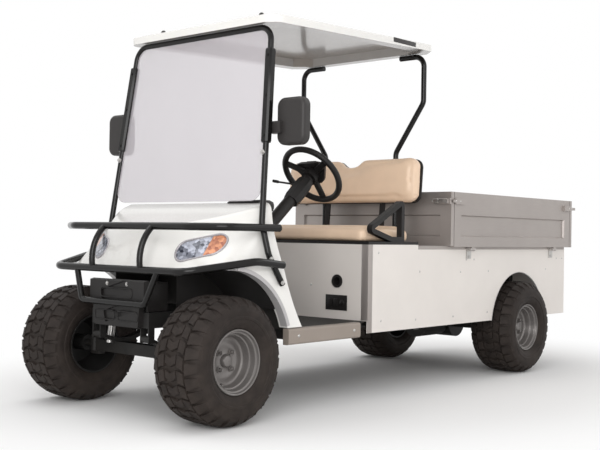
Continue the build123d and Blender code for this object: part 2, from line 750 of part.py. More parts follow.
# Wheel-well liners under the arches: a curved roof lapped by the cowl's lip, and an inner wall
LINER_R = ARCH_R - SEAT_GAP
LINER_OUT_Y = COWL_HALF_W - LIP_DEPTH + LINER_LAP
LINER_WIDTH = LINER_OUT_Y - RAIL_OUT - LINER_RAIL_GAP

with BuildPart() as wheel_liners:
    with BuildSketch(side_plane(LINER_OUT_Y)):
        with Locations((FRONT_X, WHEEL_Z)):
            Circle(LINER_R)
        with Locations((FRONT_X + LINER_AHEAD, WHEEL_Z + LINER_LIFT)):
            Rectangle(
                LINER_AHEAD + LINER_BACK, ARCH_R,
                align=(Align.MAX, Align.MIN), mode=Mode.INTERSECT,
            )
    extrude(amount=LINER_WIDTH)
    with BuildSketch(side_plane(LINER_OUT_Y)):
        with Locations((FRONT_X, WHEEL_Z)):
            Circle(LINER_R - LINER_WALL)
    extrude(amount=LINER_WIDTH - LINER_WALL, mode=Mode.SUBTRACT)
    mirror(about=Plane.XZ)
wheel_liners.part.label = "wheel_liners"
export_step(wheel_liners.part, "parts/wheel_liners.step")

# Headlamps, flush with the cowl's skin
lamp_back = cowl_block(LAMP_DEPTH, 0)

with BuildPart() as headlamps:
    add(cowl_outer)
    add(lamp_back, mode=Mode.SUBTRACT)
    with BuildSketch(Plane.YZ.offset(BACK_OF_LAMP_X)):
        lamp_slots(0)
    extrude(amount=COWL_HALF_W, mode=Mode.INTERSECT)
headlamps.part.label = "headlamps"
export_step(headlamps.part, "parts/headlamps.step")

# Dash behind the cowl, standing on the toe board, with two open bins
DASH_FRONT_X = TOE_TOP_X + DASH_DEPTH
BIN_FLOOR_Z = TOE_TOP_Z + DASH_DEPTH / 4

dash_block = cowl_block(COWL_WALL + SEAT_GAP, 0)
with BuildPart() as dash:
    add(dash_block)
    with Locations((DASH_FRONT_X, 0, TOE_TOP_Z)):
        Box(
            COWL_HALF_W, 2 * COWL_HALF_W, COWL_HALF_W,
            align=(Align.MAX, Align.CENTER, Align.MIN), mode=Mode.INTERSECT,
        )
    with Locations(*[(DASH_FRONT_X - DASH_DEPTH / 4, s * FLOOR_HALF_W / 2, BIN_FLOOR_Z) for s in (1, -1)]):
        Box(
            COWL_HALF_W, BIN_WIDTH, DASH_DEPTH,
            align=(Align.MAX, Align.CENTER, Align.MIN), mode=Mode.SUBTRACT,
        )
dash.part.label = "dash"
export_step(dash.part, "parts/dash.step")

# Bumper cover on the ends of the frame rails
COVER_LOW_Z = RAIL_HIGH_Z - COVER_RISE
COVER_HIGH_Z = COVER_LOW_Z + COVER_HEIGHT

with BuildPart() as bumper_cover:
    with BuildSketch(Plane.YZ.offset(RAIL_FRONT_X)):
        with BuildLine():
            Polyline(
                (-COVER_FOOT_HALF_W, COVER_LOW_Z),
                (COVER_FOOT_HALF_W, COVER_LOW_Z),
                (COVER_WAIST_HALF_W, COVER_LOW_Z + COVER_WAIST_RISE),
                (COVER_HALF_W, COVER_LOW_Z + COVER_SHOULDER_RISE),
                (COVER_HALF_W, COVER_HIGH_Z),
                (-COVER_HALF_W, COVER_HIGH_Z),
                (-COVER_HALF_W, COVER_LOW_Z + COVER_SHOULDER_RISE),
                (-COVER_WAIST_HALF_W, COVER_LOW_Z + COVER_WAIST_RISE),
                close=True,
            )
        make_face()
    extrude(amount=COVER_T, taper=COVER_TAPER)
    with BuildSketch(bumper_cover.faces().sort_by(Axis.X)[-1]):
        with Locations((0, -COVER_HEIGHT / 5), (0, COVER_HEIGHT / 4)):
            RectangleRounded(COVER_HALF_W, COVER_HEIGHT / 4, COVER_T / 3)
    extrude(amount=-COVER_T / 3, mode=Mode.SUBTRACT)
bumper_cover.part.label = "bumper_cover"
export_step(bumper_cover.part, "parts/bumper_cover.step")

# Canopy posts: foot, knee, elbow and top of the left leg, then across under the roof's front rim
ROOF_FRONT_X = FRONT_X - ROOF_FRONT_SETBACK
ROOF_LOW_Z = FLOOR_Z + ROOF_RISE
ROOF_TILT = tan(radians(ROOF_SLOPE))


def roof_under(x):
    """Height of the roof rim's underside at a station."""
    return ROOF_LOW_Z + (ROOF_FRONT_X - x) * ROOF_TILT


def cowl_side(z):
    """Half width of the cowl's skin at a height."""
    share = max(0, (z - SHOULDER_Z) / (HOOD_REAR_Z - SHOULDER_Z))
    return COWL_HALF_W + share * (COWL_TOP_HALF_W - COWL_HALF_W)


POST_R = POST_D / 2
POST_TOP_X = FRONT_X - POST_TOP_SETBACK
POST_TOP_Z = roof_under(POST_TOP_X + POST_R) - POST_R - SEAT_GAP
ELBOW_X = FRONT_X - POST_ELBOW_SETBACK
ELBOW_Z = FLOOR_Z + POST_ELBOW_RISE
ELBOW_Y = cowl_side(ELBOW_Z) + POST_R + SEAT_GAP
KNEE_Z = FLOOR_Z + POST_KNEE_RISE
FOOT_Z = FLOOR_Z + POST_FOOT_RISE
FOOT_Y = COWL_HALF_W + POST_R + SEAT_GAP
POST_LEFT = (
    (FRONT_X - POST_FOOT_SETBACK, FOOT_Y, FOOT_Z),
    (FRONT_X - POST_KNEE_SETBACK, FOOT_Y, KNEE_Z),
    (ELBOW_X, ELBOW_Y, ELBOW_Z),
    (POST_TOP_X, POST_TOP_Y, POST_TOP_Z),
)
POST_RIGHT = tuple((x, -y, z) for x, y, z in reversed(POST_LEFT))

with BuildPart() as front_hoop:
    tube(POST_LEFT + POST_RIGHT, POST_D, POST_BEND_R)
front_hoop.part.label = "front_hoop"
export_step(front_hoop.part, "parts/front_hoop.step")


def post_share(z):
    """Share of the way up the post from its elbow to its top."""
    return (z - ELBOW_Z) / (POST_TOP_Z - ELBOW_Z)


def post_x(z):
    """Station of the post's centre line at a height."""
    return ELBOW_X + post_share(z) * (POST_TOP_X - ELBOW_X)


def post_y(z):
    """Distance of the post's centre line from the middle at a height."""
    return ELBOW_Y + post_share(z) * (POST_TOP_Y - ELBOW_Y)


# Windscreen sheet between the posts, from just above the hood to the top tube
SCREEN_LOW_Z = HOOD_REAR_Z + SCREEN_T
SCREEN_HIGH_Z = POST_TOP_Z - POST_R - SEAT_GAP
POST_LEAN = (POST_TOP_X - ELBOW_X) / (POST_TOP_Z - ELBOW_Z)
LEAN_LENGTH = hypot(POST_LEAN, 1)
SCREEN_PLANE = Plane(origin=(ELBOW_X, 0, ELBOW_Z), x_dir=(0, 1, 0), z_dir=(1, 0, -POST_LEAN))
SCREEN_EDGE = POST_R + 2 * SEAT_GAP
SCREEN_LOW_V = (SCREEN_LOW_Z - ELBOW_Z) * LEAN_LENGTH
SCREEN_HIGH_V = (SCREEN_HIGH_Z - ELBOW_Z) * LEAN_LENGTH
SCREEN_LOW_Y = post_y(SCREEN_LOW_Z) - SCREEN_EDGE
SCREEN_HIGH_Y = post_y(SCREEN_HIGH_Z) - SCREEN_EDGE

with BuildPart() as windscreen:
    with BuildSketch(SCREEN_PLANE) as sheet:
        with BuildLine():
            Polyline(
                (-SCREEN_LOW_Y, SCREEN_LOW_V),
                (SCREEN_LOW_Y, SCREEN_LOW_V),
                (SCREEN_HIGH_Y, SCREEN_HIGH_V),
                (-SCREEN_HIGH_Y, SCREEN_HIGH_V),
                close=True,
            )
        make_face()
        fillet(sheet.vertices(), radius=SCREEN_CORNER_R)
    extrude(amount=SCREEN_T / 2, both=True)
windscreen.part.label = "windscreen"
export_step(windscreen.part, "parts/windscreen.step")

# Mirrors: a moulded housing on a bracket behind each post
MIRROR_Z = FLOOR_Z + MIRROR_RISE
MIRROR_X = FRONT_X - MIRROR_SETBACK
BRACKET_LOW_Z = MIRROR_Z - MIRROR_H / 4
BRACKET_HIGH_Z = MIRROR_Z

with BuildPart() as mirrors:
    with BuildSketch(Plane.YZ.offset(MIRROR_X - MIRROR_D / 2)):
        with Locations((MIRROR_Y, MIRROR_Z)):
            RectangleRounded(MIRROR_W, MIRROR_H, MIRROR_W / 4)
    extrude(amount=MIRROR_D)
    fillet(mirrors.faces().sort_by(Axis.X)[-1].edges(), radius=MIRROR_EDGE_R)
    with BuildSketch(Plane.YZ.offset(MIRROR_X - MIRROR_D / 2)):
        with Locations((MIRROR_Y, MIRROR_Z)):
            RectangleRounded(MIRROR_W - MIRROR_EDGE_R, MIRROR_H - MIRROR_EDGE_R, MIRROR_W / 5)
    extrude(amount=MIRROR_D / 6, mode=Mode.SUBTRACT)
    box_between(
        (MIRROR_X, post_y(BRACKET_HIGH_Z) - POST_R / 2, BRACKET_LOW_Z),
        (post_x(BRACKET_HIGH_Z) - POST_R - SEAT_GAP, MIRROR_Y - MIRROR_W / 4, BRACKET_HIGH_Z),
    )
    mirror(about=Plane.XZ)
mirrors.part.label = "mirrors"
export_step(mirrors.part, "parts/mirrors.step")

# Roof: rim, bevelled top and hollow underside, in a plane that rises to the rear
ROOF_PLANE = Plane(
    origin=(ROOF_FRONT_X, 0, ROOF_LOW_Z),
    x_dir=(cos(radians(ROOF_SLOPE)), 0, -sin(radians(ROOF_SLOPE))),
    z_dir=(sin(radians(ROOF_SLOPE)), 0, cos(radians(ROOF_SLOPE))),
)


def roof_outline(height, inset):
    """Draw the roof's plan at a height above its rim, with round front corners and cut rear corners."""
    with BuildSketch(ROOF_PLANE.offset(height)) as outline:
        with Locations((-ROOF_LENGTH / 2, 0)):
            Rectangle(ROOF_LENGTH - 2 * inset, 2 * ROOF_HALF_W - 2 * inset)
        fillet(outline.vertices().group_by(Axis.X)[-1], radius=ROOF_CORNER_R)
        chamfer(outline.vertices().group_by(Axis.X)[0], length=ROOF_REAR_CUT)
    return outline.sketch


with BuildPart() as roof:
    extrude(roof_outline(0, 0), amount=ROOF_RIM)
    loft([roof_outline(ROOF_RIM, 0), roof_outline(ROOF_RIM + ROOF_CROWN, ROOF_BEVEL)], ruled=True)
    ceiling = ROOF_RIM + ROOF_CROWN - ROOF_SKIN
    loft(
        [roof_outline(0, ROOF_RIM_W), roof_outline(ceiling, ROOF_RIM_W + ROOF_CROWN)],
        ruled=True, mode=Mode.SUBTRACT,
    )
roof.part.label = "roof"
export_step(roof.part, "parts/roof.step")

# Rear canopy struts: foot on the bed floor, out round the seat back, up and in under the roof's rear rim
STRUT_TOP_X = ROOF_FRONT_X - ROOF_LENGTH * cos(radians(ROOF_SLOPE)) + STRUT_ROOF_INSET
STRUT_TOP_Z = roof_under(STRUT_TOP_X + STRUT_D / 2) - STRUT_D / 2 - SEAT_GAP
STRUT_PATH = (
    (STRUT_X, STRUT_FOOT_Y, BED_Z),
    (STRUT_X, STRUT_FOOT_Y, FLOOR_Z + STRUT_KNEE_RISE),
    (STRUT_TOP_X, STRUT_TOP_Y, FLOOR_Z + STRUT_SHOULDER_RISE),
    (STRUT_TOP_X, STRUT_TOP_Y, STRUT_TOP_Z),
    (STRUT_TOP_X, STRUT_TOP_Y - STRUT_REACH, STRUT_TOP_Z),
)

with BuildPart() as rear_struts:
    tube(STRUT_PATH, STRUT_D, STRUT_BEND_R)
    mirror(about=Plane.XZ)
rear_struts.part.label = "rear_struts"
export_step(rear_struts.part, "parts/rear_struts.step")

# Tube guard: upper bar, lower bar, two bowed hoops between them and a loop below
GUARD_R = GUARD_D / 2
GUARD_TOP_Z = FLOOR_Z + GUARD_TOP_RISE
GUARD_LOW_Z = FLOOR_Z + GUARD_LOW_RISE
GUARD_TOP_END_X = ELBOW_X - GUARD_END_RUN
GUARD_POST_SHARE = (ELBOW_Z - GUARD_TOP_Z + GUARD_R) / (ELBOW_Z - KNEE_Z)
GUARD_TOP_END_Y = ELBOW_Y + GUARD_POST_SHARE * (FOOT_Y - ELBOW_Y) + POST_R + GUARD_R + SEAT_GAP
GUARD_LOW_END_Z = GUARD_LOW_Z + GUARD_LOW_LIFT
GUARD_LOW_END_Y = FOOT_Y + POST_R + GUARD_R + SEAT_GAP
# X ahead of the axle, Y, Z of the left half, from the rear end to the front
GUARD_TOP_LEFT = (
    (GUARD_TOP_END_X, GUARD_TOP_END_Y, GUARD_TOP_Z),
    (FRONT_X + GUARD_TOP_SHOULDER_X, GUARD_TOP_END_Y - POST_R, GUARD_TOP_Z),
    (FRONT_X + GUARD_TOP_X, GUARD_TOP_FLAT_Y, GUARD_TOP_Z),
)
GUARD_LOW_LEFT = (
    (GUARD_TOP_END_X, GUARD_LOW_END_Y, GUARD_LOW_END_Z),
    (FRONT_X - GUARD_LOW_SHOULDER_SETBACK, GUARD_LOW_END_Y, GUARD_LOW_END_Z + GUARD_R),
    (FRONT_X + GUARD_LOW_X, GUARD_LOW_FLAT_Y, GUARD_LOW_Z),
)
LOOP_LEFT = (
    (FRONT_X + GUARD_LOW_X, LOOP_TOP_Y, GUARD_LOW_Z),
    (FRONT_X + GUARD_LOW_X + GUARD_R, LOOP_LOW_Y, GUARD_LOW_Z - GUARD_LOOP_DROP),
)


def both_halves(left):
    """Carry the left half of a path on into its right half."""
    return left + tuple((x, -y, z) for x, y, z in reversed(left))


with BuildPart() as brush_guard:
    tube(both_halves(GUARD_TOP_LEFT), GUARD_D, GUARD_BEND_R)
    tube(both_halves(GUARD_LOW_LEFT), GUARD_D, GUARD_BEND_R)
    tube(both_halves(LOOP_LEFT), HOOP_D, HOOP_D)
    for hoop_y in (HOOP_Y, -HOOP_Y):
        with BuildLine() as bow:
            ThreePointArc(
                (FRONT_X + GUARD_TOP_X, hoop_y, GUARD_TOP_Z),
                (FRONT_X + GUARD_LOW_X - GUARD_R / 2, hoop_y, (GUARD_TOP_Z + GUARD_LOW_Z) / 2 + GUARD_R),
                (FRONT_X + GUARD_LOW_X, hoop_y, GUARD_LOW_Z),
            )
        with BuildSketch(Plane(origin=bow.line @ 0, z_dir=bow.line % 0)):
            Circle(HOOP_D / 2)
        sweep(path=bow.line)
brush_guard.part.label = "brush_guard"
export_step(brush_guard.part, "parts/brush_guard.step")

# Seat riser across the cab, with the hole for the charging socket
SOCKET_Z = FLOOR_Z + SOCKET_RISE

with BuildPart() as seat_riser:
    box_between((RISER_X - PANEL_T, -PANEL_IN, FLOOR_Z), (RISER_X, PANEL_IN, DECK_Z))
    with BuildSketch(Plane.YZ.offset(RISER_X)):
        with Locations((SOCKET_Y, SOCKET_Z)):
            Circle(SOCKET_BODY_D / 2 + SEAT_GAP)
    extrude(amount=-2 * PANEL_T, mode=Mode.SUBTRACT)
seat_riser.part.label = "seat_riser"
export_step(seat_riser.part, "parts/seat_riser.step")

with BuildPart() as charge_socket:
    with BuildSketch(Plane.YZ.offset(RISER_X)):
        with Locations((SOCKET_Y, SOCKET_Z)):
            Circle(SOCKET_FLANGE_D / 2)
    extrude(amount=PANEL_T)
    with BuildSketch(Plane.YZ.offset(RISER_X)):
        with Locations((SOCKET_Y, SOCKET_Z)):
            Circle(SOCKET_BODY_D / 2)
    extrude(amount=-SOCKET_DEPTH)
    with BuildSketch(Plane.YZ.offset(RISER_X + PANEL_T)):
        with Locations((SOCKET_Y, SOCKET_Z)):
            Circle(SOCKET_BORE_D / 2)
    extrude(amount=-SOCKET_DEPTH, mode=Mode.SUBTRACT)
charge_socket.part.label = "charge_socket"
export_step(charge_socket.part, "parts/charge_socket.step")

# Seat deck, cushion, back and back shell
with BuildPart() as seat_deck:
    box_between((DECK_REAR_X, -BODY_HALF_W, DECK_Z), (RISER_X, BODY_HALF_W, SEAT_Z))
seat_deck.part.label = "seat_deck"
export_step(seat_deck.part, "parts/seat_deck.step")

with BuildPart() as seat_cushion:
    box_between(
        (DECK_REAR_X, -CUSHION_HALF_W, SEAT_Z),
        (RISER_X - MOVE_GAP, CUSHION_HALF_W, SEAT_Z + CUSHION_H),
    )
    fillet(seat_cushion.edges().filter_by(Axis.Z), radius=CUSHION_EDGE_R)
    fillet(seat_cushion.faces().sort_by(Axis.Z)[-1].edges(), radius=CUSHION_EDGE_R)
seat_cushion.part.label = "seat_cushion"
export_step(seat_cushion.part, "parts/seat_cushion.step")

BACK_PLANE = Plane(
    origin=(RISER_X - BACK_SETBACK, 0, DECK_Z + BACK_LOW_RISE),
    x_dir=(0, 1, 0),
    z_dir=(cos(radians(BACK_LEAN)), 0, sin(radians(BACK_LEAN))),
)


def back_outline(plane, inset):
    """Draw the seat back's outline, two humps with a dip between them."""
    half = BACK_HALF_W - inset
    top = BACK_HEIGHT - inset
    with BuildSketch(plane) as outline:
        with BuildLine():
            Polyline((BACK_NOTCH_HALF, top), (half, top), (half, inset))
            Polyline((half, inset), (-half, inset), (-half, top), (-BACK_NOTCH_HALF, top))
            ThreePointArc((-BACK_NOTCH_HALF, top), (0, top - BACK_NOTCH), (BACK_NOTCH_HALF, top))
        make_face()
        outer = outline.vertices().group_by(Axis.Y)
        fillet([outer[0][0], outer[0][1], outer[-1][0], outer[-1][1]], radius=BACK_CORNER_R - inset)
    return outline.sketch


with BuildPart() as seat_back:
    extrude(back_outline(BACK_PLANE, 0), amount=-BACK_T)
    front = seat_back.faces().sort_by(Axis(BACK_PLANE.origin, BACK_PLANE.z_dir))[-1]
    fillet(front.edges(), radius=BACK_EDGE_R)
seat_back.part.label = "seat_back"
export_step(seat_back.part, "parts/seat_back.step")

SHELL_PLANE = BACK_PLANE.offset(-BACK_T)
POST_DROP = (DECK_Z + BACK_LOW_RISE - BED_Z) / cos(radians(BACK_LEAN))

with BuildPart() as seat_back_shell:
    extrude(back_outline(SHELL_PLANE, SHELL_T), amount=-SHELL_T)
    with BuildSketch(SHELL_PLANE.offset(-SHELL_T)):
        with Locations((SEAT_POST_Y, -POST_DROP / 4), (-SEAT_POST_Y, -POST_DROP / 4)):
            Rectangle(SEAT_POST_W, 2 * POST_DROP)
    extrude(amount=-SHELL_T)
    split(bisect_by=Plane.XY.offset(BED_Z), keep=Keep.TOP)
seat_back_shell.part.label = "seat_back_shell"
export_step(seat_back_shell.part, "parts/seat_back_shell.step")

# Hip restraints: a triangular loop on each side of the seat deck
RESTRAINT_Y = BODY_HALF_W - RESTRAINT_T - MOVE_GAP
# X behind the riser, height above the seat deck
RESTRAINT_CORNERS = (
    (-RESTRAINT_NOSE_AHEAD, RESTRAINT_NOSE_RISE),
    (RESTRAINT_REAR_SETBACK, RESTRAINT_RISE),
    (RESTRAINT_REAR_SETBACK, 0),
    (RESTRAINT_FOOT_SETBACK, 0),
)

with BuildPart() as hip_restraints:
    with BuildSketch(side_plane(RESTRAINT_Y)) as loop:
        with BuildLine():
            Polyline(*[(RISER_X - back, SEAT_Z + rise) for back, rise in RESTRAINT_CORNERS], close=True)
        make_face()
        nose = loop.vertices().sort_by(Axis.X)[-1]
        peak = loop.vertices().sort_by(Axis.Y)[-1]
        fillet([nose, peak], radius=RESTRAINT_BAR)
        offset(amount=-RESTRAINT_BAR, kind=Kind.INTERSECTION, mode=Mode.SUBTRACT)
    extrude(amount=-RESTRAINT_T)
    mirror(about=Plane.XZ)
hip_restraints.part.label = "hip_restraints"
export_step(hip_restraints.part, "parts/hip_restraints.step")

# Steering column from the toe board to the wheel, and the wheel on its shaft
WHEEL_AXIS = Vector(-cos(radians(COLUMN_ANGLE)), 0, sin(radians(COLUMN_ANGLE)))
WHEEL_CENTRE = Vector(FRONT_X - WHEEL_SETBACK, WHEEL_Y, FLOOR_Z + WHEEL_RISE)
TOE_FACE = Plane(origin=(TOE_X, 0, FLOOR_Z), x_dir=(0, 1, 0), z_dir=(-TOE_RISE, 0, TOE_TOP_X - TOE_X))
COLUMN_END = WHEEL_CENTRE - WHEEL_AXIS * (WHEEL_HUB_T + MOVE_GAP)
COLUMN_TOP = Plane(origin=COLUMN_END, x_dir=(0, 1, 0), z_dir=WHEEL_AXIS)

with BuildPart() as steering_column:
    with BuildSketch(COLUMN_TOP):
        Circle(COLUMN_D / 2)
    extrude(amount=-WHEEL_SETBACK)
    split(bisect_by=TOE_FACE, keep=Keep.TOP)
    with BuildSketch(COLUMN_TOP):
        Circle(COLUMN_SHAFT_D / 2)
    extrude(amount=SHAFT_LENGTH)
steering_column.part.label = "steering_column"
export_step(steering_column.part, "parts/steering_column.step")

WHEEL_FACE = Plane(origin=WHEEL_CENTRE, x_dir=(0, 1, 0), z_dir=WHEEL_AXIS)
WHEEL_SECTION = Plane(origin=WHEEL_CENTRE, x_dir=(0, 1, 0), z_dir=(WHEEL_AXIS.Z, 0, -WHEEL_AXIS.X))
GRIP_R = (WHEEL_OD - WHEEL_GRIP) / 2
HUB_FLOOR = SHAFT_LENGTH - MOVE_GAP - WHEEL_HUB_T

with BuildPart() as steering_wheel:
    with BuildSketch(WHEEL_SECTION):
        with Locations((GRIP_R, 0)):
            RegularPolygon(WHEEL_GRIP / 2, 6)
    revolve(axis=Axis(WHEEL_CENTRE, WHEEL_AXIS))
    with BuildSketch(WHEEL_FACE.offset(-WHEEL_HUB_T)):
        Circle(WHEEL_HUB_D / 2)
    extrude(amount=WHEEL_HUB_T + WHEEL_GRIP / 2)
    with BuildSketch(WHEEL_FACE.offset(-WHEEL_GRIP / 4)):
        with PolarLocations(GRIP_R / 2, WHEEL_SPOKES, start_angle=90):
            Rectangle(GRIP_R, WHEEL_GRIP)
    extrude(amount=WHEEL_GRIP / 3)
    with BuildSketch(WHEEL_FACE.offset(-WHEEL_HUB_T)):
        Circle(COLUMN_SHAFT_D / 2 + RUN_GAP)
    extrude(amount=WHEEL_HUB_T + HUB_FLOOR + RUN_GAP, mode=Mode.SUBTRACT)
steering_wheel.part.label = "steering_wheel"
export_step(steering_wheel.part, "parts/steering_wheel.step")

# Pedals on the toe board: Y, width, height
PEDALS = ((320.0, 76.0, 58.0), (215.0, 54.0, 120.0))
PEDAL_ROOT = TOE_FACE.from_local_coords((0, -PEDAL_UP, 0))
PEDAL_FOOT = Plane(origin=PEDAL_ROOT, x_dir=TOE_FACE.x_dir, z_dir=TOE_FACE.z_dir)

with BuildPart() as pedals:
    for pedal_y, width, height in PEDALS:
        with BuildSketch(PEDAL_FOOT):
            with Locations((pedal_y, 0)):
                Rectangle(PEDAL_STEM, PEDAL_STEM)
        extrude(amount=PEDAL_REACH)
        with BuildSketch(PEDAL_FOOT.offset(PEDAL_REACH)):
            with Locations((pedal_y, 0)):
                RectangleRounded(width, height, PEDAL_STEM / 2)
        extrude(amount=PEDAL_STEM / 2)
pedals.part.label = "pedals"
export_step(pedals.part, "parts/pedals.step")

# Side panels with the rear wheel arches, and the rear panel between them
REAR_ARCH_R = TYRE_R + REAR_ARCH_GAP
ARCH_Z = WHEEL_Z + REAR_ARCH_LIFT

with BuildPart() as side_panels:
    with BuildSketch(side_plane(PANEL_IN)) as skin:
        with BuildLine():
            Polyline(
                (RISER_X, PANEL_LOW_Z),
                (RISER_X, DECK_Z),
                (DECK_REAR_X, DECK_Z),
                (DECK_REAR_X, PANEL_TOP_Z),
                (REAR_FACE_X, PANEL_TOP_Z),
                (REAR_FACE_X, PANEL_LOW_Z),
                close=True,
            )
        make_face()
        with Locations((REAR_X, ARCH_Z)):
            Circle(REAR_ARCH_R, mode=Mode.SUBTRACT)
    extrude(amount=-PANEL_T)
    mirror(about=Plane.XZ)
side_panels.part.label = "side_panels"
export_step(side_panels.part, "parts/side_panels.step")

with BuildPart() as rear_panel:
    box_between((REAR_FACE_X, -PANEL_IN, PANEL_LOW_Z), (REAR_FACE_X + PANEL_T, PANEL_IN, PANEL_TOP_Z))
rear_panel.part.label = "rear_panel"
export_step(rear_panel.part, "parts/rear_panel.step")

with BuildPart() as tail_lamps:
    with BuildSketch(Plane.YZ.offset(REAR_FACE_X)):
        with Locations((TAIL_LAMP_Y, TAIL_LAMP_Z), (-TAIL_LAMP_Y, TAIL_LAMP_Z)):
            SlotOverall(TAIL_LAMP_LENGTH, TAIL_LAMP_HEIGHT)
    extrude(amount=-TAIL_LAMP_T, taper=COVER_TAPER)
tail_lamps.part.label = "tail_lamps"
export_step(tail_lamps.part, "parts/tail_lamps.step")

# Bed floor with a grooved liner inside the gates, and the fixed front board with its corner latches
FLOOR_EDGE = BODY_HALF_W + GATE_STANDOFF - MOVE_GAP
BED_REAR_X = REAR_FACE_X - GATE_STANDOFF + MOVE_GAP
GATE_OUT = BODY_HALF_W + GATE_STANDOFF + GATE_T
BOARD_REAR_X = BED_X - GATE_T

with BuildPart() as bed_floor:
    box_between((BED_REAR_X, -FLOOR_EDGE, PANEL_TOP_Z), (DECK_REAR_X, FLOOR_EDGE, BED_Z))
    box_between(
        (BED_REAR_X + MOVE_GAP, -FLOOR_EDGE + MOVE_GAP, BED_Z),
        (BOARD_REAR_X - MOVE_GAP, FLOOR_EDGE - MOVE_GAP, BED_Z + LINER_T),
    )
    with BuildSketch(Plane.XY.offset(BED_Z + LINER_T)):
        with Locations(((BED_REAR_X + BOARD_REAR_X) / 2, 0)):
            with GridLocations(0, GROOVE_PITCH, 1, GROOVE_COUNT):
                Rectangle(BOARD_REAR_X - BED_REAR_X - 2 * MEMBER_W, GROOVE_W)
    extrude(amount=-GROOVE_DEPTH, mode=Mode.SUBTRACT)
bed_floor.part.label = "bed_floor"
export_step(bed_floor.part, "parts/bed_floor.step")

GATE_LOW_Z = BED_Z - GATE_FLOOR_LAP
GATE_TOP_Z = GATE_LOW_Z + GATE_HEIGHT
LATCH_Z = GATE_TOP_Z - LATCH_DROP
BAND_MID = (GATE_BAND_LOW + GATE_BAND_HIGH) / 2
BAND_H = GATE_BAND_HIGH - GATE_BAND_LOW

with BuildPart() as front_board:
    box_between((BOARD_REAR_X, -GATE_OUT, BED_Z), (BED_X, GATE_OUT, GATE_TOP_Z))
    with BuildSketch(Plane.YZ.offset(BED_X)):
        with Locations((0, GATE_LOW_Z + BAND_MID)):
            Rectangle(2 * GATE_OUT - 2 * GATE_BAND_INSET, BAND_H)
    extrude(amount=-GATE_BAND_DEPTH, taper=BAND_TAPER, mode=Mode.SUBTRACT)
    for side in (1, -1):
        with Locations((BED_X, side * (GATE_OUT - LATCH_LENGTH / 2), LATCH_Z)):
            Box(LATCH_T, LATCH_LENGTH, LATCH_H, align=(Align.MIN, Align.CENTER, Align.CENTER))
front_board.part.label = "front_board"
export_step(front_board.part, "parts/front_board.step")


def gate_panel(plane, length, hinges):
    """Add a gate: plane's X runs along it, its Y is up and its Z points out; hinges are places along X."""
    with BuildSketch(plane) as slab:
        with Locations((0, GATE_HEIGHT / 2)):
            Rectangle(length, GATE_HEIGHT)
    extrude(slab.sketch, amount=GATE_T)
    with BuildSketch(plane.offset(GATE_T)) as band:
        with Locations((0, BAND_MID)):
            Rectangle(length - 2 * GATE_BAND_INSET, BAND_H)
    extrude(band.sketch, amount=-GATE_BAND_DEPTH, taper=BAND_TAPER, mode=Mode.SUBTRACT)
    for place in hinges:
        with BuildSketch(hinge_section(plane, place)) as lug:
            with Locations((HINGE_OUT - GATE_STANDOFF, -HINGE_DROP)):
                Circle(HINGE_EYE_D / 2)
            with Locations((GATE_T, -HINGE_DROP)):
                Rectangle(HINGE_EYE_D - SEAT_GAP, 2 * HINGE_DROP, align=(Align.MAX, Align.MIN))
            with Locations((HINGE_OUT - GATE_STANDOFF, -HINGE_DROP)):
                Circle(HINGE_PIN_D / 2 + RUN_GAP, mode=Mode.SUBTRACT)
        extrude(lug.sketch, amount=HINGE_LUG_W / 2, both=True)


def hinge_section(plane, place):
    """Plane across a gate at a place along it: X points out and Y is up."""
    origin = plane.from_local_coords((place, 0, 0))
    return Plane(origin=origin, x_dir=plane.z_dir, z_dir=-plane.x_dir)


def hinge_bracket(plane, place):
    """Add the fixed half of a hinge on the panel: a leaf, two ears and the pin."""
    axis_z = -HINGE_DROP
    ear_in = HINGE_LUG_W / 2 + SEAT_GAP
    section = hinge_section(plane, place)
    with BuildSketch(section) as leaf:
        with Locations((-GATE_STANDOFF, axis_z + HINGE_EYE_D / 2)):
            Rectangle(HINGE_LEAF_T, HINGE_LEAF_H, align=(Align.MIN, Align.MAX))
    extrude(leaf.sketch, amount=ear_in + HINGE_EAR_T, both=True)
    with BuildSketch(section) as pin:
        with Locations((HINGE_OUT - GATE_STANDOFF, axis_z)):
            Circle(HINGE_PIN_D / 2)
    extrude(pin.sketch, amount=ear_in + HINGE_EAR_T / 2, both=True)
    for end in (1, -1):
        with BuildSketch(section.offset(end * (ear_in + HINGE_EAR_T / 2))) as ear:
            with Locations((HINGE_OUT - GATE_STANDOFF, axis_z)):
                Circle(HINGE_EYE_D / 2)
            with Locations((-GATE_STANDOFF, axis_z)):
                Rectangle(HINGE_OUT, HINGE_EYE_D, align=(Align.MIN, Align.CENTER))
        extrude(ear.sketch, amount=HINGE_EAR_T / 2, both=True)


# Side gates, hinged along the side panels, and the tailgate across their ends
GATE_FRONT_X = BOARD_REAR_X - MOVE_GAP
TAILGATE_X = REAR_FACE_X - GATE_STANDOFF
GATE_REAR_X = TAILGATE_X + MOVE_GAP
GATE_LENGTH = GATE_FRONT_X - GATE_REAR_X
SIDE_GATE = Plane(
    origin=((GATE_FRONT_X + GATE_REAR_X) / 2, BODY_HALF_W + GATE_STANDOFF, GATE_LOW_Z),
    x_dir=(-1, 0, 0), z_dir=(0, 1, 0),
)
SIDE_HINGES = (HINGE_INSET - GATE_LENGTH / 2, GATE_LENGTH / 2 - HINGE_INSET)
TAIL_GATE = Plane(origin=(TAILGATE_X, 0, GATE_LOW_Z), x_dir=(0, -1, 0), z_dir=(-1, 0, 0))
TAIL_HINGES = (HINGE_INSET - GATE_OUT, GATE_OUT - HINGE_INSET)
STRAP_Y = GATE_OUT + MOVE_GAP

